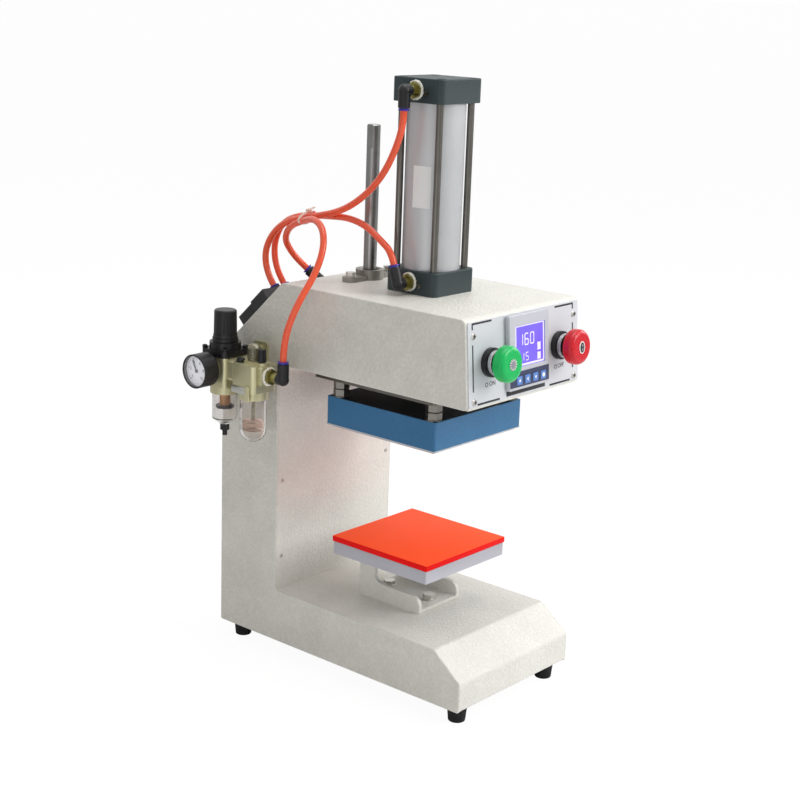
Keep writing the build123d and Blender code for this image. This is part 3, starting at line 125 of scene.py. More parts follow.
@dataclass(frozen=True)
class Finish:
    """One real finish: base colour, shader values and the pattern its making leaves.

    grain_mm says in millimetres how large one grain of the pattern is.
    """

    name: str
    base: str
    metallic: float = 0.0
    roughness: float = 0.5
    grain: Grain = Grain.MOULDED
    grain_mm: float = 1.0
    bump: float = 0.15
    mottle: float = 0.06
    wear: float = 0.0
    coat: float = 0.0
    specular: float = 0.5
    transmission: float = 0.0
    alpha: float = 1.0
    ior: float = 1.5
    subsurface: float = 0.0
    glow: float = 0.0
    anisotropic: float = 0.0

    def material(self) -> bpy.types.Material:
        """Return the material of this finish, building it on first use."""
        found = bpy.data.materials.get(self.name)
        return found if found else self.build()

    def grain_height(self, tree: Tree, place: Socket) -> Socket:
        """Add the pattern that the making of the surface leaves.

        Args:
            tree: Node tree of the material.
            place: Socket of the object coordinates.

        Returns:
            Socket of the pattern's height.
        """
        mapping = add_node(tree, "ShaderNodeMapping", {"Scale": self.grain.value[1]}, {"Vector": place})
        frequency = 1.0 / (self.grain_mm * MM)
        feed = {"Vector": mapping.outputs["Vector"]}
        if self.grain is Grain.HAMMERED:
            dimples = add_node(tree, "ShaderNodeTexVoronoi",
                               {"feature": "SMOOTH_F1", "Scale": frequency, "Smoothness": 0.7}, feed)
            return dimples.outputs["Distance"]
        noise = add_node(tree, "ShaderNodeTexNoise", {"Scale": frequency, "Detail": 3.0}, feed)
        return noise.outputs["Fac"]

    def tint(self, tree: Tree, height: Socket, cloud: Socket) -> Socket:
        """Vary the base colour with the grain and the soft clouds, and lighten worn edges.

        Args:
            tree: Node tree of the material.
            height: Socket of the grain's height.
            cloud: Socket of the clouds.

        Returns:
            Socket of the finished colour.
        """
        base = colour(self.base)
        blend = add_node(tree, "ShaderNodeMath", {"operation": "MULTIPLY_ADD", 1: 0.5},
                         {0: height, 2: cloud})
        ramp = add_node(tree, "ShaderNodeValToRGB", links={"Fac": blend.outputs["Value"]})
        stops = ((0.35, shade(base, 1.0 - self.mottle)), (0.95, shade(base, 1.0 + self.mottle)))
        for element, (position, tone) in zip(ramp.color_ramp.elements, stops):
            element.position = position
            element.color = tone
        if not self.wear:
            return ramp.outputs["Color"]
        geometry = add_node(tree, "ShaderNodeNewGeometry")
        edge = add_node(tree, "ShaderNodeMapRange",
                        {"From Min": WORN_FROM, "From Max": WORN_TO, "To Max": self.wear},
                        {"Value": geometry.outputs["Pointiness"]})
        worn = add_node(tree, "ShaderNodeMix", {"data_type": "RGBA", 7: shade(base, 1.5, 0.03)},
                        {0: edge.outputs["Result"], 6: ramp.outputs["Color"]})
        return worn.outputs[2]

    def build(self) -> bpy.types.Material:
        """Build the material: shader values, grain, colour mottle, uneven gloss and bump.

        Returns:
            The new material.
        """
        material = bpy.data.materials.new(self.name)
        material.use_nodes = True
        tree = material.node_tree
        shader = tree.nodes["Principled BSDF"]
        values = {
            "Metallic": self.metallic, "Coat Weight": self.coat, "Specular IOR Level": self.specular,
            "Transmission Weight": self.transmission, "Alpha": self.alpha, "IOR": self.ior,
            "Subsurface Weight": self.subsurface, "Anisotropic": self.anisotropic,
            "Coat Roughness": COAT_ROUGHNESS, "Subsurface Scale": LIGHT_DEPTH,
        }
        if self.glow:
            values["Emission Color"] = colour(self.base)
            values["Emission Strength"] = self.glow
        for key, value in values.items():
            shader.inputs[key].default_value = value
        place = add_node(tree, "ShaderNodeTexCoord").outputs["Object"]
        height = self.grain_height(tree, place)
        cloud = add_node(tree, "ShaderNodeTexNoise",
                         {"Scale": CLOUD_SCALE, "Detail": 4.0, "Roughness": 0.6},
                         {"Vector": place}).outputs["Fac"]
        gloss = add_node(tree, "ShaderNodeMapRange",
                         {"To Min": max(0.02, self.roughness - 0.06), "To Max": self.roughness + 0.08},
                         {"Value": cloud})
        relief = add_node(tree, "ShaderNodeBump",
                          {"Strength": self.bump, "Distance": RELIEF_SHARE * self.grain_mm * MM},
                          {"Height": height})
        tree.links.new(self.tint(tree, height, cloud), shader.inputs["Base Color"])
        tree.links.new(gloss.outputs["Result"], shader.inputs["Roughness"])
        tree.links.new(relief.outputs["Normal"], shader.inputs["Normal"])
        return material


# Steel sheet, sprayed with hammered powder coat and baked: small soft dimples and a satin
# sheen, with the dimples drawn at 3 mm, coarser than the real 1 mm, so that they show
POWDER_COAT = Finish("hammered_powder_coat", "D9D7CE", roughness=0.42, grain=Grain.HAMMERED,
                     grain_mm=3.2, bump=0.8, mottle=0.1, wear=0.25)
# Hammertone enamel, sprayed on the heater cover: clear blue, lightly dimpled, paler at its edges
BLUE_ENAMEL = Finish("blue_hammertone_enamel", "26618B", roughness=0.38, grain=Grain.HAMMERED,
                     grain_mm=2.6, bump=0.4, mottle=0.18, wear=0.5, coat=0.05, specular=0.3)
# Die-cast aluminium, blasted and hard anodised: dark, slightly greenish, with a fine matt tooth
DARK_ANODISED = Finish("dark_anodised_casting", "2C383A", metallic=0.35, roughness=0.5,
                       grain=Grain.CAST, grain_mm=0.7, bump=0.25, mottle=0.12, wear=0.35)
# Aluminium tube, extruded and clear anodised: pale and silky, with faint lines along its length
BARREL_ALUMINIUM = Finish("clear_anodised_extrusion", "C4C5C7", metallic=0.4, roughness=0.4,
                          grain=Grain.BRUSHED_UP, grain_mm=1.2, bump=0.05, mottle=0.05, anisotropic=0.4)
# Aluminium plate, fly-cut: pale metal with faint straight tool lines and bright edges
MILLED_ALUMINIUM = Finish("milled_aluminium_plate", "AFAEB6", metallic=0.55, roughness=0.4,
                          grain=Grain.BRUSHED_ACROSS, grain_mm=1.6, bump=0.15, mottle=0.08, wear=0.4)
# Steel bar, ground and hard chromed: a clean mirror with hardly any grain
CHROMED_BAR = Finish("ground_chromed_bar", "B9B9BC", metallic=1.0, roughness=0.16,
                     grain=Grain.TURNED, grain_mm=0.5, bump=0.03, mottle=0.04)
# Bearing steel bar, ground: bright, but darker and softer than chrome
BRIGHT_STEEL = Finish("ground_bearing_steel", "8E8E8C", metallic=1.0, roughness=0.3,
                      grain=Grain.TURNED, grain_mm=0.5, bump=0.05, mottle=0.1)
# Mild steel, cold drawn: dull dark metal with draw lines along its length
DRAWN_STEEL = Finish("cold_drawn_steel_rod", "6E6B66", metallic=1.0, roughness=0.32,
                     grain=Grain.BRUSHED_UP, grain_mm=0.8, bump=0.08, mottle=0.18)
# Steel fasteners, zinc plated: pale grey, slightly cloudy metal
ZINC_PLATE = Finish("zinc_plated_steel", "B8B6B0", metallic=1.0, roughness=0.3,
                    grain=Grain.CAST, grain_mm=0.8, bump=0.06, mottle=0.12, wear=0.3)
# Steel flange, machined and left bare: mid grey and half dull, with brighter edges
MACHINED_STEEL = Finish("machined_grey_steel", "8A8782", metallic=0.85, roughness=0.45,
                        grain=Grain.CAST, grain_mm=1.0, bump=0.15, mottle=0.15, wear=0.3)
# Silicone sheet, pressed between smooth plates: vivid orange red. Its low glow is painted light,
# for the light that spreads in the sheet and to lift its top out of the heater's shade
SILICONE = Finish("pressed_silicone_sheet", "FF5428", roughness=0.55, grain_mm=2.4, bump=0.1,
                  mottle=0.03, specular=0.12, glow=0.28)
# Sides of that sheet, cut with a blade: duller, their deeper red painted shade, their glow painted light
SHADED_SILICONE_SIDE = Finish("silicone_side_painted_shade", "DF0A0A", roughness=0.6, grain_mm=1.2, bump=0.15,
                      mottle=0.06, specular=0.15, glow=0.15)
# Rubber, moulded: near black and matt, with no sharp highlight
RUBBER = Finish("moulded_black_rubber", "0E0E10", roughness=0.72, grain_mm=1.2, bump=0.2, mottle=0.2,
                specular=0.35)
# Nylon, injection moulded in black: deep and even, with a soft sheen and slightly grey edges
BLACK_NYLON = Finish("moulded_black_nylon", "0C0C0F", roughness=0.38, grain_mm=1.2, bump=0.12,
                     mottle=0.15, wear=0.4, specular=0.4)
# Laminate board, sawn: black and dull, with faint saw lines
INSULATION = Finish("dark_laminate_board", "121214", roughness=0.6, grain=Grain.BRUSHED_ACROSS,
                    grain_mm=1.2, bump=0.1, mottle=0.2, specular=0.3)
# Aluminium sheet, brushed and printed silver grey: satin, with hair lines across
PANEL_PRINT = Finish("satin_printed_aluminium", "D6D8DD", metallic=0.15, roughness=0.42,
                     grain=Grain.BRUSHED_ACROSS, grain_mm=0.5, bump=0.04, mottle=0.03)
# ABS, injection moulded in light grey: even and half matt
BEZEL_ABS = Finish("light_grey_abs", "C3C5CC", roughness=0.45, grain_mm=0.5, bump=0.08, mottle=0.04)
# Polyester film, printed navy on its back: even, with a slight gloss
NAVY_FILM = Finish("navy_polyester_film", "2C3557", roughness=0.35, grain_mm=0.6, bump=0.05, mottle=0.06)
# Silicone keys, moulded in bright blue: soft and matt
KEY_BLUE = Finish("blue_silicone_key", "5C86CF", roughness=0.5, grain_mm=0.6, bump=0.06, mottle=0.05)
# Display glass with a violet light behind it: a flat lit field under a clear gloss
BACKLIGHT = Finish("violet_backlit_glass", "6F5CE4", roughness=0.2, grain_mm=6.0, bump=0.0,
                   mottle=0.16, glow=0.4, coat=0.1)
# Clear display segments over that light: pale lilac, brighter than the field
SEGMENT = Finish("lit_display_segment", "DDD6FA", roughness=0.3, grain_mm=2.0, bump=0.0,
                 mottle=0.04, glow=0.4)
# Nylon caps from a polished mould, in green and in red: glossy, with a sharp highlight
GREEN_CAP = Finish("glossy_green_nylon", "00BA5C", roughness=0.26, grain_mm=1.0, bump=0.03,
                   mottle=0.05, coat=0.08, specular=0.35)
RED_CAP = Finish("glossy_red_nylon", "D01222", roughness=0.26, grain_mm=1.0, bump=0.03,
                 mottle=0.05, coat=0.08, specular=0.35)
# Zinc die casting under champagne lacquer: warm, half bright, with a faint cast grain
DIE_CAST = Finish("champagne_die_casting", "BDB894", metallic=0.55, roughness=0.34,
                  grain=Grain.CAST, grain_mm=1.2, bump=0.18, mottle=0.14, wear=0.5)
# Polycarbonate bowls, moulded clear: glassy, with bright and dark rims
CLEAR_PC = Finish("moulded_clear_polycarbonate", "F6F3F1", roughness=0.04, grain_mm=4.0, bump=0.03,
                  mottle=0.02, transmission=1.0, ior=1.4)
# Polycarbonate dome, moulded and filmed with oil: clear, but smoky and warm
DOME_PC = Finish("smoky_clear_polycarbonate", "B9B49C", roughness=0.08, grain_mm=4.0, bump=0.03,
                 mottle=0.04, transmission=0.85, ior=1.45)
# Acrylic gauge window, cast flat: thin enough to let the dial through unchanged
LENS_PC = Finish("flat_acrylic_window", "F4F6F8", roughness=0.05, grain_mm=4.0, bump=0.02,
                 mottle=0.02, alpha=0.14)
# Mineral oil, light and fresh: clear, with a rosy tint
OIL = Finish("light_mineral_oil", "F3D3C6", roughness=0.03, grain_mm=6.0, bump=0.02,
             mottle=0.02, transmission=1.0, ior=1.3)
# Bronze powder, pressed and sintered: brown gold, porous and matt
SINTERED_BRONZE = Finish("sintered_bronze", "B98550", metallic=0.6, roughness=0.5,
                         grain=Grain.CAST, grain_mm=0.9, bump=0.5, mottle=0.25)
# Brass, nickel plated: yellowish metal, rubbed brighter at its edges
PLATED_BRASS = Finish("nickel_plated_brass", "8D8650", metallic=0.9, roughness=0.3,
                      grain=Grain.CAST, grain_mm=0.8, bump=0.08, mottle=0.15, wear=0.4)
# PTFE tape, wound by hand: white and dull, with many small folds
PTFE_TAPE = Finish("wound_ptfe_tape", "F2F0E6", roughness=0.6, grain=Grain.BRUSHED_ACROSS,
                   grain_mm=0.8, bump=0.5, mottle=0.05, subsurface=0.05)
# Acetal collars, moulded in violet blue: even, with a soft shine
COLLAR_BLUE = Finish("violet_acetal_collar", "3A2AA0", roughness=0.3, grain_mm=0.8, bump=0.04,
                     mottle=0.08)
# Polyurethane hose, extruded: smooth orange that lets a little light in
HOSE_PU = Finish("orange_polyurethane_hose", "F65A33", roughness=0.26, grain_mm=3.0, bump=0.03,
                 mottle=0.08, subsurface=0.1, coat=0.15)
# Ink, screen printed: flat and near black; the same black on the panel screws is painted shade
BLACK_PRINT_AND_SHADE = Finish("printed_black_and_painted_shade", "1B1B1F", roughness=0.5, grain_mm=0.6, bump=0.05, mottle=0.1)
# Polyester label film: white and smooth, with a faint sheen
WHITE_FILM = Finish("white_polyester_label", "F0F0EE", roughness=0.4, grain_mm=1.0, bump=0.03,
                    mottle=0.02)
# Dial plate, stamped and enamelled: clean white; its low glow is painted light, for what the window takes
# away
DIAL_WHITE = Finish("white_enamelled_dial", "F6F5FB", roughness=0.4, grain_mm=0.8, bump=0.03,
                    mottle=0.02, glow=0.22)
# Nylon strap, moulded without dye: milky; its pink tint is painted light, the hoses' colour showing
# through
TIE_NYLON = Finish("natural_nylon_tie", "F1CDBE", roughness=0.4, grain_mm=0.8, bump=0.06, mottle=0.04,
                   subsurface=0.1)
# Film inlay of the caps, printed: flat mid grey
GREY_INLAY = Finish("grey_printed_inlay", "8C8A92", roughness=0.4, grain_mm=0.6, bump=0.05, mottle=0.06)

NODE_FINISHES: Dict[Finish, Sequence[str]] = {
    POWDER_COAT: ("side_plate_left", "side_plate_right", "base_deck", "throat_skin", "head_skin",
                  "rear_cover", "base_plate", "platen_bracket"),
    BLUE_ENAMEL: ("heater_cover",),
    DARK_ANODISED: ("lower_cap", "upper_cap"),
    BARREL_ALUMINIUM: ("barrel",),
    MILLED_ALUMINIUM: ("lower_platen", "heater_plate", "mount_plate"),
    CHROMED_BAR: ("piston_rod",),
    BRIGHT_STEEL: ("guide_rod", "regulator_spindle"),
    ZINC_PLATE: ("frame_fasteners",),
    DRAWN_STEEL: ("cylinder_fasteners", "levelling_bolts", "carrier_plate"),
    MACHINED_STEEL: ("guide_flange",),
    RUBBER: ("rubber_feet",),
    BLACK_NYLON: ("cable_gland", "regulator_bonnet", "regulator_knob", "gauge_case", "gauge_needle",
                  "drain_cock", "oil_knob", "valve_body", "valve_coil", "push_in_elbows",
                  "button_collars", "stop_stem"),
    INSULATION: ("insulation_board",),
    PANEL_PRINT: ("control_panel",),
    BEZEL_ABS: ("controller_case",),
    BACKLIGHT: ("display_window",),
    KEY_BLUE: ("key_one", "key_two", "key_three", "key_four"),
    GREEN_CAP: ("start_button",),
    RED_CAP: ("stop_button",),
    DIE_CAST: ("filter_regulator_body", "lubricator_body", "unit_bracket"),
    CLEAR_PC: ("filter_bowl", "lubricator_bowl"),
    LENS_PC: ("gauge_lens",),
    DOME_PC: ("sight_dome",),
    SINTERED_BRONZE: ("filter_element",),
    PLATED_BRASS: ("thread_adapters",),
    COLLAR_BLUE: ("release_collars",),
}


def dress(piece: Piece, finish: Finish) -> None:
    """Give a piece one finish on all its faces."""
    piece.data.materials.clear()
    piece.data.materials.append(finish.material())


def clear_selection() -> None:
    """Deselect every object, because operators act on all that is selected."""
    bpy.ops.object.select_all(action="DESELECT")


def settle() -> Piece:
    """Put the active object's place, turn and scale into its mesh, and return it."""
    bpy.ops.object.transform_apply(location=True, rotation=True, scale=True)
    return bpy.context.active_object


def finish_piece(name: str, finish: Finish, body: str,
                 place: Optional[Matrix] = None) -> Piece:
    """Settle the active object: place in its mesh, name, finish and body.

    Args:
        name: Name of the piece.
        finish: Its finish.
        body: CAD body that it rides on.
        place: Where its local axes go in the row frame.

    Returns:
        The piece, at the origin.
    """
    piece = settle()
    if place is not None:
        piece.matrix_world = place
        settle()
    piece.name = name
    dress(piece, finish)
    bpy.ops.object.shade_smooth_by_angle(angle=SMOOTH_BELOW)
    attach(piece, body)
    log.info("made %s", name)
    return piece


def modify(kind: str, settings: Dict[str, object]) -> None:
    """Add a modifier to the active object and apply it.

    Args:
        kind: Blender's name of the modifier type.
        settings: Its properties and their values.
    """
    modifier = bpy.context.active_object.modifiers.new(kind.lower(), kind)
    for key, value in settings.items():
        setattr(modifier, key, value)
    bpy.ops.object.modifier_apply(modifier=modifier.name)


def bevel_all(width: float) -> None:
    """Round the active object's edges."""
    modify("BEVEL", {"width": width, "segments": BEVEL_SEGMENTS, "limit_method": "ANGLE"})


def stretch(piece: Piece, factors: Size, bevel: float = 0.0) -> Piece:
    """Stretch the active piece inside its mesh, and then round its edges.

    Args:
        piece: The active piece.
        factors: Its scale along X, Y and Z.
        bevel: Width of its rounded edges, or 0 for sharp ones.

    Returns:
        The piece.
    """
    piece.scale = factors
    settle()
    if bevel:
        bevel_all(bevel)
    return piece


def turn(piece: Piece, degrees: float) -> Piece:
    """Turn the active piece round local Z inside its mesh, and return it."""
    piece.rotation_euler = (0.0, 0.0, math.radians(degrees))
    return settle()


def block(centre: Point, size: Size, bevel: float = 0.0) -> Piece:
    """Add a block as the active object, in its local axes.

    Args:
        centre: Its middle.
        size: Its lengths along X, Y and Z.
        bevel: Width of its rounded edges, or 0 for sharp ones.

    Returns:
        The block.
    """
    clear_selection()
    bpy.ops.mesh.primitive_cube_add(size=1.0, location=centre)
    return stretch(bpy.context.active_object, size, bevel)


def sliver(x: float, y: float, wide: float, high: float, thickness: float) -> Piece:
    """Add a thin printed block that lies on local Z, its middle at x and y, as the active object."""
    return block((x, y, thickness / 2), (wide, high, thickness), thickness / 4)


@dataclass(frozen=True)
class Bar:
    """Size of a round bar: radius, length, width of its rounded edges and number of sides."""

    radius: float
    depth: float
    bevel: float = 0.0
    sides: int = 48

    def build(self, foot: Point = (0.0, 0.0, 0.0)) -> Piece:
        """Add the bar along local Z as the active object.

        Args:
            foot: Middle of its lower end.

        Returns:
            The bar.
        """
        clear_selection()
        bpy.ops.mesh.primitive_cylinder_add(vertices=self.sides, radius=self.radius, depth=self.depth,
                                            location=(foot[0], foot[1], foot[2] + self.depth / 2))
        return stretch(bpy.context.active_object, (1.0, 1.0, 1.0), self.bevel)


@dataclass(frozen=True)
class Skin:
    """Bare skin of a tube along local Z: radius, lower and upper end and number of sides."""

    radius: float
    low: float
    high: float
    sides: int

    def build(self) -> Piece:
        """Add the skin, without end faces, as the active object.

        Returns:
            The skin.
        """
        clear_selection()
        bpy.ops.mesh.primitive_cylinder_add(
            vertices=self.sides, radius=self.radius, depth=self.high - self.low,
            end_fill_type="NOTHING", location=(0, 0, (self.low + self.high) / 2))
        return settle()


@dataclass(frozen=True)
class Tube:
    """Size of a tube: inner and outer radius, lower and upper end, width of its rounded edges, sides."""

    inner: float
    outer: float
    low: float
    high: float
    bevel: float
    sides: int = 64

    def build(self) -> Piece:
        """Add the tube along local Z as the active object.

        Returns:
            The tube.
        """
        tube = Skin(self.outer, self.low, self.high, self.sides).build()
        modify("SOLIDIFY", {"thickness": self.outer - self.inner, "offset": -1.0})
        bevel_all(self.bevel)
        return tube


def lettering(words: str, size: float, place: Point, thickness: float) -> Piece:
    """Make words a thin mesh that lies on local Z.

    Args:
        words: The words.
        size: Size of the letters.
        place: Middle of the words.
        thickness: Thickness of the letters.

    Returns:
        The mesh.
    """
    clear_selection()
    bpy.ops.object.text_add(location=place)
    text = bpy.context.active_object.data
    text.body = words
    text.size = size
    text.extrude = thickness / 2
    text.align_x = "CENTER"
    text.align_y = "CENTER"
    bpy.ops.object.convert(target="MESH")
    return settle()


def join(parts: Sequence[Piece]) -> Piece:
    """Join parts into the last of them.

    Args:
        parts: The parts, each with its own mesh.

    Returns:
        The last part, active, with all the meshes in it.
    """
    clear_selection()
    for part in parts:
        part.select_set(True)
    bpy.context.view_layer.objects.active = parts[-1]
    bpy.ops.object.join()
    return parts[-1]


def cut_with(piece: Piece, cutter: Piece) -> Piece:
    """Take the cutter's solid out of a piece and delete the cutter.

    Args:
        piece: The piece, which becomes active.
        cutter: The solid to take out.

    Returns:
        The piece.
    """
    clear_selection()
    piece.select_set(True)
    bpy.context.view_layer.objects.active = piece
    modify("BOOLEAN", {"operation": "DIFFERENCE", "object": cutter})
    bpy.data.objects.remove(cutter)
    return piece


def plane_matrix(origin: Vector, x_axis: Vector, normal: Vector) -> Matrix:
    """Matrix of a plane's own axes.

    Args:
        origin: Where its local origin goes.
        x_axis: Where its local X points.
        normal: Where its local Z points.

    Returns:
        The matrix.
    """
    z_unit = normal.normalized()
    x_unit = x_axis.normalized()
    turned = Matrix((x_unit, z_unit.cross(x_unit), z_unit)).transposed().to_4x4()
    turned.translation = origin
    return turned


@dataclass(frozen=True)
class Lamp:
    """One square soft lamp: its name, place, side in metres and power in watts."""

    name: str
    place: Point
    size: float
    watts: float

    def build(self, target: Vector) -> None:
        """Add the lamp, aimed at a point.

        Args:
            target: The point.
        """
        data = bpy.data.lights.new(self.name, "AREA")
        data.size = self.size
        data.energy = self.watts
        lamp = bpy.data.objects.new(self.name, data)
        bpy.context.scene.collection.objects.link(lamp)
        turned = (target - Vector(self.place)).to_track_quat("-Z", "Y").to_matrix().to_4x4()
        lamp.matrix_world = Matrix.Translation(self.place) @ turned


@dataclass
class Studio:
    """Camera at the photograph's view, plain floor and soft lights."""

    camera_place: Point = (-1.423099, -1.169319, 0.826962)
    azimuth: float = -49.656
    pitch: float = -14.793
    roll: float = 2.044
    focal_pixels: float = 1588.942
    frame_pixels: float = 800.0
    sensor: float = 36.0
    nearest: float = 0.05
    floor_side: float = 260.0
    floor_colour: str = "F2F2F2"
    floor_roughness: float = 0.9
    floor_white: float = 1.05
    floor_share: float = 0.9
    soft_light: float = 0.40
    target: Point = (0.0, 0.0, 0.35)
    lamps: Tuple[Lamp, ...] = (
        Lamp("front_key", (1.1, -2.1, 1.6), 1.3, 31.0),
        Lamp("top_soft", (0.2, -0.2, 2.4), 1.5, 20.0),
        Lamp("right_side", (2.0, -0.7, 1.3), 0.9, 11.0),
        Lamp("low_left", (-1.4, -0.5, 0.10), 0.7, 2.5))

    def camera(self) -> None:
        """Set the camera by its three angles and its focal length in pixels."""
        heading = math.radians(self.azimuth)
        dip = math.radians(self.pitch)
        tilt = math.radians(self.roll)
        ahead = Vector((-math.sin(heading), math.cos(heading), 0.0)) * math.cos(dip)
        forward = ahead + Vector((0.0, 0.0, math.sin(dip)))
        level = Vector((math.cos(heading), math.sin(heading), 0.0))
        upright = level.cross(forward)
        right = level * math.cos(tilt) + upright * math.sin(tilt)
        up = upright * math.cos(tilt) - level * math.sin(tilt)
        data = bpy.data.cameras.new("photo_camera")
        data.sensor_width = self.sensor
        data.lens = self.focal_pixels * self.sensor / self.frame_pixels
        data.clip_start = self.nearest
        camera = bpy.data.objects.new("photo_camera", data)
        bpy.context.scene.collection.objects.link(camera)
        matrix = Matrix((right, up, -forward)).transposed().to_4x4()
        matrix.translation = Vector(self.camera_place)
        camera.matrix_world = matrix
        bpy.context.scene.camera = camera

    def floor(self) -> None:
        """Add a floor that the camera sees as white paper and that keeps the object's shadow."""
        clear_selection()
        bpy.ops.mesh.primitive_plane_add(size=self.floor_side, location=(0, 0, 0))
        floor = bpy.context.active_object
        floor.name = "studio_floor"
        material = bpy.data.materials.new("white_paper_sweep")
        material.use_nodes = True
        tree = material.node_tree
        shader = tree.nodes["Principled BSDF"]
        shader.inputs["Base Color"].default_value = colour(self.floor_colour)
        shader.inputs["Roughness"].default_value = self.floor_roughness
        paper = shader.outputs["BSDF"]
        white = add_node(tree, "ShaderNodeEmission",
                         {"Color": (1.0, 1.0, 1.0, 1.0), "Strength": self.floor_white})
        seen = add_node(tree, "ShaderNodeMixShader", {"Fac": self.floor_share},
                        {1: paper, 2: white.outputs["Emission"]})
        path = add_node(tree, "ShaderNodeLightPath")
        chooser = add_node(tree, "ShaderNodeMixShader", links={
            "Fac": path.outputs["Is Camera Ray"], 1: paper, 2: seen.outputs["Shader"]})
        tree.links.new(chooser.outputs["Shader"], tree.nodes["Material Output"].inputs["Surface"])
        floor.data.materials.append(material)

    def world(self) -> None:
        """White to the camera, to gloss and through glass, a plain soft light to all else."""
        world = bpy.data.worlds.new("studio_world")
        bpy.context.scene.world = world
        world.use_nodes = True
        tree = world.node_tree
        tree.nodes.clear()
        path = add_node(tree, "ShaderNodeLightPath")
        white = (1.0, 1.0, 1.0, 1.0)
        soft = add_node(tree, "ShaderNodeBackground", {"Color": white, "Strength": self.soft_light})
        full = add_node(tree, "ShaderNodeBackground", {"Color": white, "Strength": 1.0})
        clear = add_node(tree, "ShaderNodeMath", {"operation": "MAXIMUM"}, {
            0: path.outputs["Is Camera Ray"], 1: path.outputs["Is Transmission Ray"]})
        seen = add_node(tree, "ShaderNodeMath", {"operation": "MAXIMUM"}, {
            0: clear.outputs["Value"], 1: path.outputs["Is Glossy Ray"]})
        mix = add_node(tree, "ShaderNodeMixShader", links={
            "Fac": seen.outputs["Value"], 1: soft.outputs["Background"], 2: full.outputs["Background"]})
        add_node(tree, "ShaderNodeOutputWorld", links={"Surface": mix.outputs["Shader"]})

    def build(self) -> None:
        """Build the whole studio."""
        bpy.context.scene.view_settings.view_transform = "Standard"
        self.camera()
        self.floor()
        self.world()
        for lamp in self.lamps:
            lamp.build(Vector(self.target))


@dataclass
class Hose:
    """One air hose: a smooth line through listed points, in millimetres, between two fittings."""

    name: str
    points: Sequence[Point]
    diameter: float = 0.008
    order: int = 3
    steps: int = 12
    round_steps: int = 6

    def build(self) -> Piece:
        """Returns:
            The hose, still a live curve.
        """
        curve = bpy.data.curves.new(self.name + "_line", "CURVE")
        curve.dimensions = "3D"
        spline = curve.splines.new("NURBS")
        spline.points.add(len(self.points) - 1)
        for knot, (x, y, z) in zip(spline.points, self.points):
            knot.co = (x * MM, y * MM, z * MM, 1.0)
        spline.order_u = self.order
        spline.use_endpoint_u = True
        spline.resolution_u = self.steps
        curve.bevel_depth = self.diameter / 2
        curve.bevel_resolution = self.round_steps
        curve.use_fill_caps = True
        piece = bpy.data.objects.new(self.name + "_tube", curve)
        bpy.context.scene.collection.objects.link(piece)
        curve.materials.append(HOSE_PU.material())
        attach(piece, "press_frame")
        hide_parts(self.name)
        self.length()
        log.info("made %s", self.name)
        return piece

    def length(self) -> float:
        """Read the length of the smooth line from the spline itself.

        Returns:
            The length in metres.
        """
        curve = bpy.data.curves[self.name + "_line"].copy()
        curve.bevel_depth = 0.0
        probe = bpy.data.objects.new("probe", curve)
        mesh = bpy.data.meshes.new_from_object(probe)
        total = sum((mesh.vertices[e.vertices[0]].co - mesh.vertices[e.vertices[1]].co).length
                    for e in mesh.edges)
        bpy.data.objects.remove(probe)
        bpy.data.meshes.remove(mesh)
        bpy.data.curves.remove(curve)
        return total


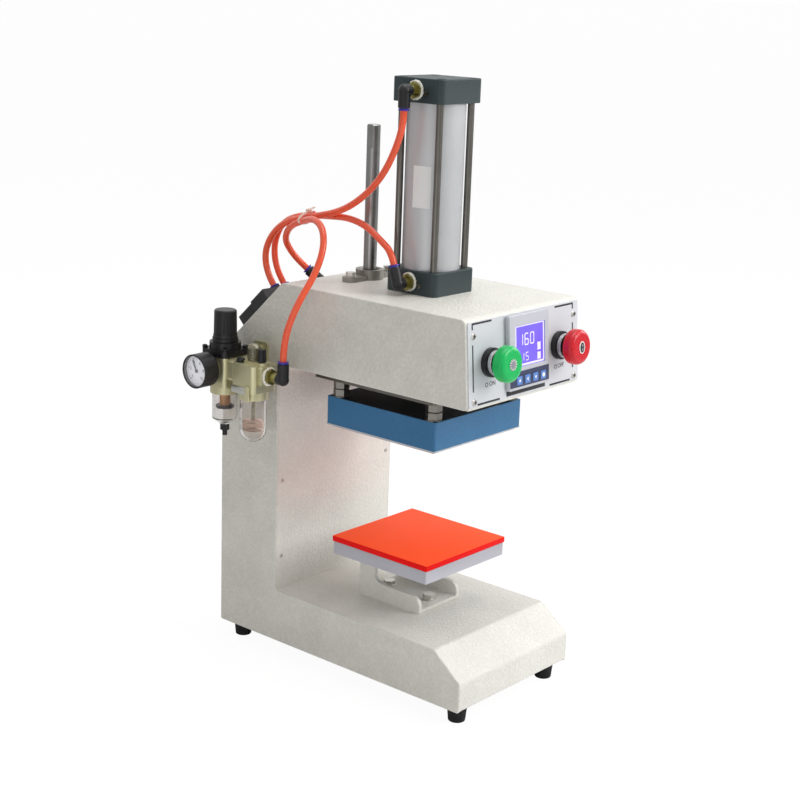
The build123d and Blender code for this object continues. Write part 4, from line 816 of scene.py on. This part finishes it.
@dataclass
class Fluidics:
    """The three air hoses, the tie round them and the tape at their threads."""

    routes: Tuple[Tuple[str, Tuple[Point, ...]], ...] = (
        ("top_hose", (
            (-57.5, 0, 689.5), (-57.5, 0, 671.5), (-58, 9, 644), (-58, 27, 612), (-58, 55, 584),
            (-58, 92, 562), (-58, 141, 550), (-58, 181, 541), (-58, 207, 520), (-58, 218, 494),
            (-56, 212.12, 467.60), (-56, 199.78, 454.50))),
        ("bottom_hose", (
            (-57.5, 5.87, 508.07), (-57.5, 11.43, 525.19), (-58, 27, 536), (-57, 50, 550),
            (-53, 83, 556), (-49.5, 122, 553), (-48, 164, 549), (-44, 197, 538), (-40, 216, 517),
            (-38, 221.5, 492), (-38, 212.12, 467.60), (-38, 199.78, 454.50))),
        ("supply_hose", (
            (-144, 97, 391), (-144, 97, 409), (-143, 91, 437), (-134, 82, 468), (-116, 76, 496),
            (-101, 77, 524), (-92, 87, 546), (-79, 114, 553.5), (-67.5, 144, 546), (-62, 170, 536.5),
            (-51, 189.5, 520), (-39, 197, 506), (-24.80, 192.39, 487.50), (-16.63, 181.40, 475.82))))
    tie_place: Point = (-0.0578, 0.146, 0.5490)
    tie_tilt: float = 13.0
    tie_reach: Pair = (0.0142, 0.0060)
    tie_skin: Skin = Skin(1.0, -0.00175, 0.00175, 48)
    tie_wall: float = 0.0012
    tie_bevel: float = 0.0003
    lock_place: Pair = (0.004, 0.0012)
    lock_size: Size = (0.0052, 0.0042, 0.0052)
    lock_bevel: float = 0.0006
    tail_place: Pair = (0.009, 0.0022)
    tail_size: Size = (0.0110, 0.0012, 0.0032)
    tape_seats: Tuple[Tuple[str, Point, Point, Point], ...] = (
        ("tape_top_port", (-0.0386, 0.0, 0.7085), (0, 1, 0), (-1, 0, 0)),
        ("tape_bottom_port", (-0.0386, 0.0, 0.490), (0, 1, 0), (-1, 0, 0)),
        ("tape_unit_port", (-0.144, 0.1189, 0.372), (1, 0, 0), (0, -1, 0)))
    tape_radius: float = 0.0096
    tape_thickness: float = 0.0015
    tape_steps: int = 90
    tape_round_steps: int = 12
    fold_size: float = 0.0022
    fold_height: float = 0.0026
    fold_level: float = 0.45

    def hoses(self) -> None:
        """Make the three hoses."""
        for name, points in self.routes:
            Hose(name, points).build()

    def tie(self) -> None:
        """Make the nylon strap that gathers the hoses over the head, with its lock and tail."""
        reach_x, reach_y = self.tie_reach
        strap = stretch(self.tie_skin.build(), (reach_x, reach_y, 1.0))
        modify("SOLIDIFY", {"thickness": self.tie_wall, "offset": 1.0})
        bevel_all(self.tie_bevel)
        lock_x, lock_out = self.lock_place
        lock = block((lock_x, reach_y + lock_out, 0.0), self.lock_size, self.lock_bevel)
        tail_x, tail_out = self.tail_place
        tail = block((tail_x, reach_y + tail_out, 0.0), self.tail_size, self.tie_bevel)
        join([lock, tail, strap])
        tilt = math.radians(self.tie_tilt)
        along = Vector((math.cos(tilt), 0.0, math.sin(tilt)))
        place = plane_matrix(Vector(self.tie_place), along, Vector((0.0, -1.0, 0.0)))
        finish_piece("hose_tie", TIE_NYLON, "press_frame", place)

    def tape(self) -> None:
        """Make the loose turns of white thread tape at three fittings."""
        for name, centre, across, normal in self.tape_seats:
            clear_selection()
            bpy.ops.mesh.primitive_torus_add(
                major_segments=self.tape_steps, minor_segments=self.tape_round_steps,
                major_radius=self.tape_radius, minor_radius=self.tape_thickness)
            folds = bpy.data.textures.new(name + "_folds", "CLOUDS")
            folds.noise_scale = self.fold_size
            modify("DISPLACE", {"texture": folds, "texture_coords": "LOCAL", "strength": self.fold_height,
                                "mid_level": self.fold_level})
            place = plane_matrix(Vector(centre), Vector(across), Vector(normal))
            finish_piece(name, PTFE_TAPE, "press_frame", place)


@dataclass
class Pad:
    """The red silicone sheet on the lower platen."""

    side: float = 0.150
    low: float = 0.162
    thickness: float = 0.007
    middle_y: float = 0.001
    edge: float = 0.0007
    top_from: float = 0.8

    def build(self) -> None:
        """Model the sheet: a pressed top, and duller sides whose deeper red is painted shade."""
        block((0.0, self.middle_y, self.low + self.thickness / 2), (self.side, self.side, self.thickness),
              self.edge)
        pad = finish_piece("silicone_sheet", SILICONE, "press_frame")
        # Faces that look up keep the top's silicone; the side faces take the deeper red of painted shade
        pad.data.materials.append(SHADED_SILICONE_SIDE.material())
        for face in pad.data.polygons:
            face.material_index = 0 if face.normal.z > self.top_from else 1
        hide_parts("silicone_pad")


@dataclass
class ControlPanel:
    """Prints, display, keys' film and button inlays of the front panel.

    Places are measured across and up from the middle of the panel's lower edge, and an Area holds
    its left, right, low and high ends.
    """

    origin: Point = (0.0, -0.146, 0.376)
    normal: Point = (0.0, -0.99683, 0.07957)
    plate: float = 0.0015
    print_height: float = 0.00014
    brackets_at: Tuple[Area, ...] = (
        (-0.0966, -0.0615, 0.0939, 0.0961), (-0.0966, -0.0944, 0.0886, 0.0950),
        (-0.0964, -0.0944, 0.0200, 0.0720), (-0.0885, -0.0484, 0.0039, 0.0061),
        (0.0570, 0.0936, 0.0931, 0.0953), (0.0914, 0.0936, 0.0880, 0.0942),
        (0.0914, 0.0936, 0.0184, 0.0716), (0.0461, 0.0864, 0.0036, 0.0058))
    caption_up: float = 0.0245
    caption_size: float = 0.0072
    caption_shift: float = 0.0035
    mark_shift: float = -0.0068
    mark_inner: float = 0.0018
    mark_outer: float = 0.0026
    mark_sides: int = 32
    proud: float = 0.006
    film: Area = (-0.0366, 0.0366, 0.0142, 0.0318)
    film_height: float = 0.00022
    strip: Area = (-0.0362, 0.0368, 0.0050, 0.0107)
    strip_height: float = 0.0003
    keys_x: Tuple[float, ...] = (-0.0195, -0.0045, 0.0105, 0.0255)
    key_bodies: Tuple[str, ...] = ("key_a", "key_b", "key_c", "key_d")
    key_arrow: Bar = Bar(0.0026, 0.0001, 0.00002, 3)
    key_dot: Bar = Bar(0.0026, 0.0001, 0.00002, 24)
    key_side: float = 0.0104
    key_hole_depth: float = 0.004
    key_up: float = 0.02125
    key_front: float = 0.0083
    window: Area = (-0.026, 0.030, 0.0365, 0.0835)
    window_inset: float = 0.0012
    lit_height: float = 0.00012
    border_gap: Pair = (0.0008, 0.0006)
    border_thin: float = 0.0018
    border_wide: float = 0.0028
    numbers: Tuple[Tuple[str, float, float, float, float], ...] = (
        ("160", -0.0145, 0.0105, 0.0665, 0.0125), ("15", -0.0115, 0.0085, 0.0468, 0.0085))
    digit_wide: float = 0.5
    digit_stroke: float = 0.12
    digit_fill: float = 0.94
    levels_at: Tuple[Area, ...] = ((0.0165, 0.0225, 0.0405, 0.0485), (0.0165, 0.0225, 0.0510, 0.0600))
    button_x: float = 0.065
    button_up: float = 0.049
    sleeve: Tube = Tube(0.01345, 0.01375, 0.0052, 0.0118, 0.0001)
    sleeve_rib: Tube = Tube(0.01345, 0.01415, 0.0072, 0.0086, 0.0002)
    start_front: float = 0.0331
    stop_front: float = 0.0341
    start_mark: Bar = Bar(0.0060, 0.0006, 0.0001)
    mark_low: float = -0.0002
    tick_count: int = 12
    tick_place: Point = (0.0054, 0.0, 0.0005)
    tick_size: Size = (0.0022, 0.0009, 0.0003)
    tick_bevel: float = 0.00006
    stop_oval: Bar = Bar(0.0064, 0.0006, 0.0001)
    oval_stretch: Size = (0.82, 1.12, 1.0)
    stop_core: Bar = Bar(0.0052, 0.0004, 0.0001)
    core_stretch: Size = (0.76, 1.16, 1.0)
    core_low: float = 0.0002
    stop_mark_places: Tuple[Point, ...] = ((0.0, 0.0023, 0.0007), (0.0, -0.0023, 0.0007))
    stop_mark_size: Size = (0.0028, 0.0024, 0.0003)
    screw_x: float = 0.094
    screw_ups: Pair = (0.0085, 0.0815)
    screw_head: float = 0.0018
    cross_long: float = 0.0046
    cross_short: float = 0.0013
    cross_height: float = 0.00006
    cross_bevel: float = 0.00001

    def fix(self, name: str, finish: Finish, off: float,
            body: str = "press_frame") -> None:
        """Finish the active object in the axes of the panel.

        Args:
            name: Name of the piece.
            finish: Its finish.
            off: How far in front of the sheet under the panel its local origin lies.
            body: CAD body that it rides on.
        """
        outward = Vector(self.normal)
        place = plane_matrix(Vector(self.origin) + outward * off, Vector((1, 0, 0)), outward)
        finish_piece(name, finish, body, place)

    def bar(self, area: Area, height: float) -> Piece:
        """Make one thin printed bar from the ends of its area and its height."""
        left, right, low, high = area
        return sliver((left + right) / 2, (low + high) / 2, right - left, high - low, height)

    def brackets(self) -> None:
        """Print the corner brackets round the two button fields."""
        join([self.bar(area, self.print_height) for area in self.brackets_at])
        self.fix("panel_brackets", BLACK_PRINT_AND_SHADE, self.plate)

    def captions(self) -> None:
        """Print a small ring mark with ON and OFF below the buttons."""
        height = self.print_height
        for words, x in (("ON", -self.button_x), ("OFF", self.button_x)):
            place = (x + self.caption_shift, self.caption_up, height / 2)
            text = lettering(words, self.caption_size, place, height)
            hoop = Tube(self.mark_inner, self.mark_outer, 0.0, height, height / 4, self.mark_sides)
            mark = hoop.build()
            mark.location = (x + self.mark_shift, self.caption_up, 0.0)
            settle()
            join([text, mark])
            self.fix("caption_" + words.lower(), BLACK_PRINT_AND_SHADE, self.plate)

    def key_film(self) -> None:
        """Make the navy film round the keys and the dark strip on the panel just below the controller."""
        film = self.bar(self.film, self.film_height)
        for x in self.keys_x:
            hole = block((x, self.key_up, 0.0), (self.key_side, self.key_side, self.key_hole_depth))
            cut_with(film, hole)
        self.fix("key_film", NAVY_FILM, self.plate + self.proud)
        self.bar(self.strip, self.strip_height)
        self.fix("dark_strip_below_controller", BLACK_PRINT_AND_SHADE, self.plate)

    def digit(self, lit: str, x: float, y: float, height: float) -> List[Piece]:
        """Make one seven-segment digit.

        Args:
            lit: Letters of its lit segments.
            x: Its middle across the panel.
            y: Its middle up the panel.
            height: Height between the middles of its end segments.

        Returns:
            Its segments.
        """
        wide = height * self.digit_wide
        stroke = height * self.digit_stroke
        half = height / 2
        places = {
            "a": (0, half, wide, stroke), "g": (0, 0, wide, stroke), "d": (0, -half, wide, stroke),
            "b": (wide / 2, half / 2, stroke, half), "c": (wide / 2, -half / 2, stroke, half),
            "f": (-wide / 2, half / 2, stroke, half), "e": (-wide / 2, -half / 2, stroke, half)}
        parts = []
        fill = self.digit_fill
        for dx, dy, w, h in (places[letter] for letter in lit):
            parts.append(sliver(x + dx, y + dy, w * fill, h * fill, self.lit_height))
        return parts

    def display(self) -> None:
        """Make the pale border, the plain numbers and the side bars of the display."""
        left, right, low, high = self.window
        gap_x, gap_y = self.border_gap
        thin, wide = self.border_thin, self.border_wide
        areas = ((left + gap_x, right - gap_x, high - thin, high - gap_y),
                 (left + gap_x, right - gap_x, low + gap_y, low + wide),
                 (left + gap_x, left + wide, low + thin, high - thin),
                 (right - wide, right - gap_x, low + thin, high - thin))
        parts = [self.bar(area, self.lit_height) for area in areas]
        seven = {"1": "bc", "6": "acdefg", "0": "abcdef", "5": "acdfg"}
        for number, first, pitch, up, height in self.numbers:
            for step, figure in enumerate(number):
                parts += self.digit(seven[figure], first + pitch * step, up, height)
        parts += [self.bar(area, self.lit_height) for area in self.levels_at]
        join(parts)
        self.fix("display_marks", SEGMENT, self.plate + self.proud - self.window_inset)

    def sleeves(self) -> None:
        """Put the polished sleeve with its rib on each button collar."""
        for name, x in (("start_sleeve", -self.button_x), ("stop_sleeve", self.button_x)):
            rib = join([self.sleeve.build(), self.sleeve_rib.build()])
            rib.location = (x, self.button_up, 0.0)
            self.fix(name, CHROMED_BAR, self.plate)

    def start_inlays(self) -> None:
        """Set the round mark and its rays in the green cap."""
        self.start_mark.build((-self.button_x, self.button_up, self.mark_low))
        self.fix("start_inlay", GREY_INLAY, self.start_front, "start")
        ticks = join([
            turn(block(self.tick_place, self.tick_size, self.tick_bevel), 360 / self.tick_count * step)
            for step in range(self.tick_count)])
        ticks.location = (-self.button_x, self.button_up, 0.0)
        self.fix("start_ticks", WHITE_FILM, self.start_front, "start")

    def stop_inlays(self) -> None:
        """Set the oval mark, its dark core and the two marks on that in the red cap."""
        place = (self.button_x, self.button_up, 0.0)
        oval = stretch(self.stop_oval.build((0.0, 0.0, self.mark_low)), self.oval_stretch)
        oval.location = place
        self.fix("stop_inlay", WHITE_FILM, self.stop_front, "stop_head")
        core = stretch(self.stop_core.build((0.0, 0.0, self.core_low)), self.core_stretch)
        core.location = place
        self.fix("stop_core", BLACK_PRINT_AND_SHADE, self.stop_front, "stop_head")
        marks = join([block(spot, self.stop_mark_size, self.tick_bevel)
                      for spot in self.stop_mark_places])
        marks.location = place
        self.fix("stop_marks", GREY_INLAY, self.stop_front, "stop_head")

    def key_marks(self) -> None:
        """Print pale marks on the keys: three triangles, each turned on by 90 degrees, and a dot."""
        shapes = (self.key_arrow, self.key_arrow, self.key_arrow, self.key_dot)
        for step, (x, body, shape) in enumerate(zip(self.keys_x, self.key_bodies, shapes)):
            mark = turn(shape.build(), 90 * step)
            mark.location = (x, self.key_up, 0.0)
            self.fix("key_mark_" + str(step + 1), WHITE_FILM, self.key_front, body)

    def screw_crosses(self) -> None:
        """Lay flat dark crosses on the four panel screw heads: painted shade for their cross recesses."""
        arms = ((self.cross_long, self.cross_short, self.cross_height),
                (self.cross_short, self.cross_long, self.cross_height))
        join([block((x, up, self.cross_height / 2), arm, self.cross_bevel)
              for x in (-self.screw_x, self.screw_x) for up in self.screw_ups for arm in arms])
        self.fix("screw_recess_painted_shade", BLACK_PRINT_AND_SHADE, self.plate + self.screw_head)

    def build(self) -> None:
        """Build all the panel's details."""
        self.key_marks()
        self.screw_crosses()
        self.brackets()
        self.captions()
        self.key_film()
        self.display()
        self.sleeves()
        self.start_inlays()
        self.stop_inlays()


@dataclass
class AirUnit:
    """Details of the air preparation unit on the left: dial, plug, plates and bowl fittings."""

    axis_x: float = -0.144
    regulator_y: float = 0.195
    lubricator_y: float = 0.146
    port_z: float = 0.372
    dial_x: float = -0.189
    dial_disc: Bar = Bar(0.0183, 0.0003, 0.00006, 72)
    pivot_hole: Bar = Bar(0.0012, 0.004, sides=24)
    scale_start: float = 225.0
    scale_steps: int = 30
    scale_pitch: float = 9.0
    steps_per_number: int = 6
    scale_radius: float = 0.0166
    long_tick: Pair = (0.0034, 0.0007)
    short_tick: Pair = (0.0018, 0.0004)
    number_radius: float = 0.0110
    number_size: float = 0.0052
    ink_height: float = 0.00012
    plug_place: Point = (-0.1525, 0.1590, 0.384)
    plug_bar: Bar = Bar(0.0050, 0.0044, 0.0006)
    plug_slot: Size = (0.0076, 0.0014, 0.0022)
    bonnet_top: float = 0.394
    bonnet_reach: float = 0.0172
    bonnet_screw: Bar = Bar(0.0030, 0.0032, 0.0004, 24)
    socket: Bar = Bar(0.0016, 0.003, sides=6)
    name_place: Point = (-0.1636, 0.1500, 0.3530)
    name_size: Size = (0.0012, 0.0260, 0.0085)
    name_bevel: float = 0.0002
    latch_place: Point = (-0.1642, 0.1360, 0.3505)
    latch_size: Size = (0.0024, 0.0066, 0.0190)
    latch_bevel: float = 0.0005
    baffle: Tube = Tube(0.0066, 0.0113, 0.3198, 0.3232, 0.0003, 8)
    oil: Bar = Bar(0.0132, 0.011, 0.0012)
    oil_low: float = 0.302
    siphon: Bar = Bar(0.0024, 0.030, 0.0004, 24)
    siphon_low: float = 0.3135

    def dial_matrix(self, off: float) -> Matrix:
        """Axes of the gauge dial, off metres in front of the bottom of its well."""
        return plane_matrix(Vector((self.dial_x - off, self.regulator_y, self.port_z)),
                            Vector((0, -1, 0)), Vector((-1, 0, 0)))

    def dial(self) -> None:
        """Make the white dial, its scale of ticks and its plain even numbers."""
        cut_with(self.dial_disc.build(), self.pivot_hole.build((0.0, 0.0, -self.pivot_hole.depth / 2)))
        finish_piece("gauge_dial", DIAL_WHITE, "press_frame", self.dial_matrix(0.0))
        marks = []
        for step in range(self.scale_steps + 1):
            length, width = self.short_tick if step % self.steps_per_number else self.long_tick
            tick = sliver(self.scale_radius - length / 2, 0.0, length, width, self.ink_height)
            marks.append(turn(tick, self.scale_start - self.scale_pitch * step))
        for step in range(0, self.scale_steps + 1, self.steps_per_number):
            angle = math.radians(self.scale_start - self.scale_pitch * step)
            place = (self.number_radius * math.cos(angle), self.number_radius * math.sin(angle),
                     self.ink_height / 2)
            number = str(2 * step // self.steps_per_number)
            marks.append(lettering(number, self.number_size, place, self.ink_height))
        join(marks)
        finish_piece("gauge_scale", BLACK_PRINT_AND_SHADE, "press_frame",
                     self.dial_matrix(self.dial_disc.depth))

    def plug(self) -> None:
        """Make the lubricator's round fill plug with its slot and rim."""
        plug = cut_with(self.plug_bar.build(), block((0.0, 0.0, self.plug_bar.depth), self.plug_slot))
        plug.location = self.plug_place
        finish_piece("fill_plug", BLACK_NYLON, "press_frame")

    def bonnet_screws(self) -> None:
        """Make the four socket screws that hold the bonnet flange."""
        socket_low = self.bonnet_screw.depth - self.socket.depth / 2
        first = cut_with(self.bonnet_screw.build(), self.socket.build((0.0, 0.0, socket_low)))
        screws = []
        for dx in (-self.bonnet_reach, self.bonnet_reach):
            for dy in (-self.bonnet_reach, self.bonnet_reach):
                screw = bpy.data.objects.new("bonnet_screw", first.data.copy())
                bpy.context.scene.collection.objects.link(screw)
                screw.location = (self.axis_x + dx, self.regulator_y + dy, self.bonnet_top)
                screws.append(screw)
        bpy.data.objects.remove(first)
        join(screws)
        finish_piece("bonnet_screws", BLACK_NYLON, "press_frame")

    def plates(self) -> None:
        """Fix the bare name plate and the olive latch on the left faces."""
        block(self.name_place, self.name_size, self.name_bevel)
        finish_piece("bare_plate", ZINC_PLATE, "press_frame")
        block(self.latch_place, self.latch_size, self.latch_bevel)
        finish_piece("bowl_latch", DIE_CAST, "press_frame")

    def bowl_fittings(self) -> None:
        """Make the black baffle in the filter bowl, and the oil and siphon tube of the lubricator."""
        self.baffle.build().location = (self.axis_x, self.regulator_y, 0.0)
        finish_piece("filter_baffle", BLACK_NYLON, "press_frame")
        self.oil.build((self.axis_x, self.lubricator_y, self.oil_low))
        finish_piece("bowl_oil", OIL, "press_frame")
        self.siphon.build((self.axis_x, self.lubricator_y, self.siphon_low))
        finish_piece("siphon_tube", DOME_PC, "press_frame")

    def build(self) -> None:
        """Build all the unit's details."""
        self.bowl_fittings()
        self.dial()
        self.plug()
        self.bonnet_screws()
        self.plates()


@dataclass
class CoverRim:
    """Bare cut edge along the bottom of the heater cover."""

    half_width: float = 0.0812
    front_y: float = -0.0832
    back_y: float = 0.0852
    low: float = 0.3099
    height: float = 0.0014
    wall: float = 0.0012
    bevel: float = 0.0002

    def build(self) -> None:
        """Join four bars into one rim."""
        middle = self.low + self.height / 2
        middle_y = (self.front_y + self.back_y) / 2
        depth = self.back_y - self.front_y
        width = 2 * (self.half_width - self.wall)
        bars = [block((x, middle_y, middle), (self.wall, depth, self.height), self.bevel)
                for x in (-self.half_width + self.wall / 2, self.half_width - self.wall / 2)]
        bars += [block((0.0, y, middle), (width, self.wall, self.height), self.bevel)
                 for y in (self.front_y + self.wall / 2, self.back_y - self.wall / 2)]
        join(bars)
        finish_piece("cover_rim", BARREL_ALUMINIUM, "ram")


@dataclass
class CylinderLabel:
    """Bare white label on the barrel's left side."""

    skin: Skin = Skin(0.0341, 0.576, 0.624, 180)
    first_angle: float = 176.0
    last_angle: float = 214.0
    thickness: float = 0.00012

    def build(self) -> None:
        """Keep the label's arc of a thin tube and give it thickness."""
        label = self.skin.build()
        bpy.ops.object.mode_set(mode="EDIT")
        bpy.ops.mesh.select_mode(type="FACE")
        bpy.ops.mesh.select_all(action="DESELECT")
        bpy.ops.object.mode_set(mode="OBJECT")
        for face in label.data.polygons:
            angle = math.degrees(math.atan2(face.center.y, face.center.x)) % 360
            face.select = not self.first_angle < angle < self.last_angle
        bpy.ops.object.mode_set(mode="EDIT")
        bpy.ops.mesh.delete(type="FACE")
        bpy.ops.object.mode_set(mode="OBJECT")
        modify("SOLIDIFY", {"thickness": self.thickness, "offset": 1.0})
        finish_piece("bare_label", WHITE_FILM, "press_frame")


def dress_nodes() -> None:
    """Give every CAD node its finish."""
    for finish, names in NODE_FINISHES.items():
        for name in names:
            dress(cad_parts[name], finish)
            log.info("dressed %s in %s", name, finish.name)


def main() -> None:
    """Build the studio, the hoses and every dressed piece in order."""
    Studio().build()
    fluidics = Fluidics()
    fluidics.hoses()
    dress_nodes()
    Pad().build()
    ControlPanel().build()
    AirUnit().build()
    CylinderLabel().build()
    CoverRim().build()
    fluidics.tape()
    fluidics.tie()


if __name__ == "__main__":
    main()
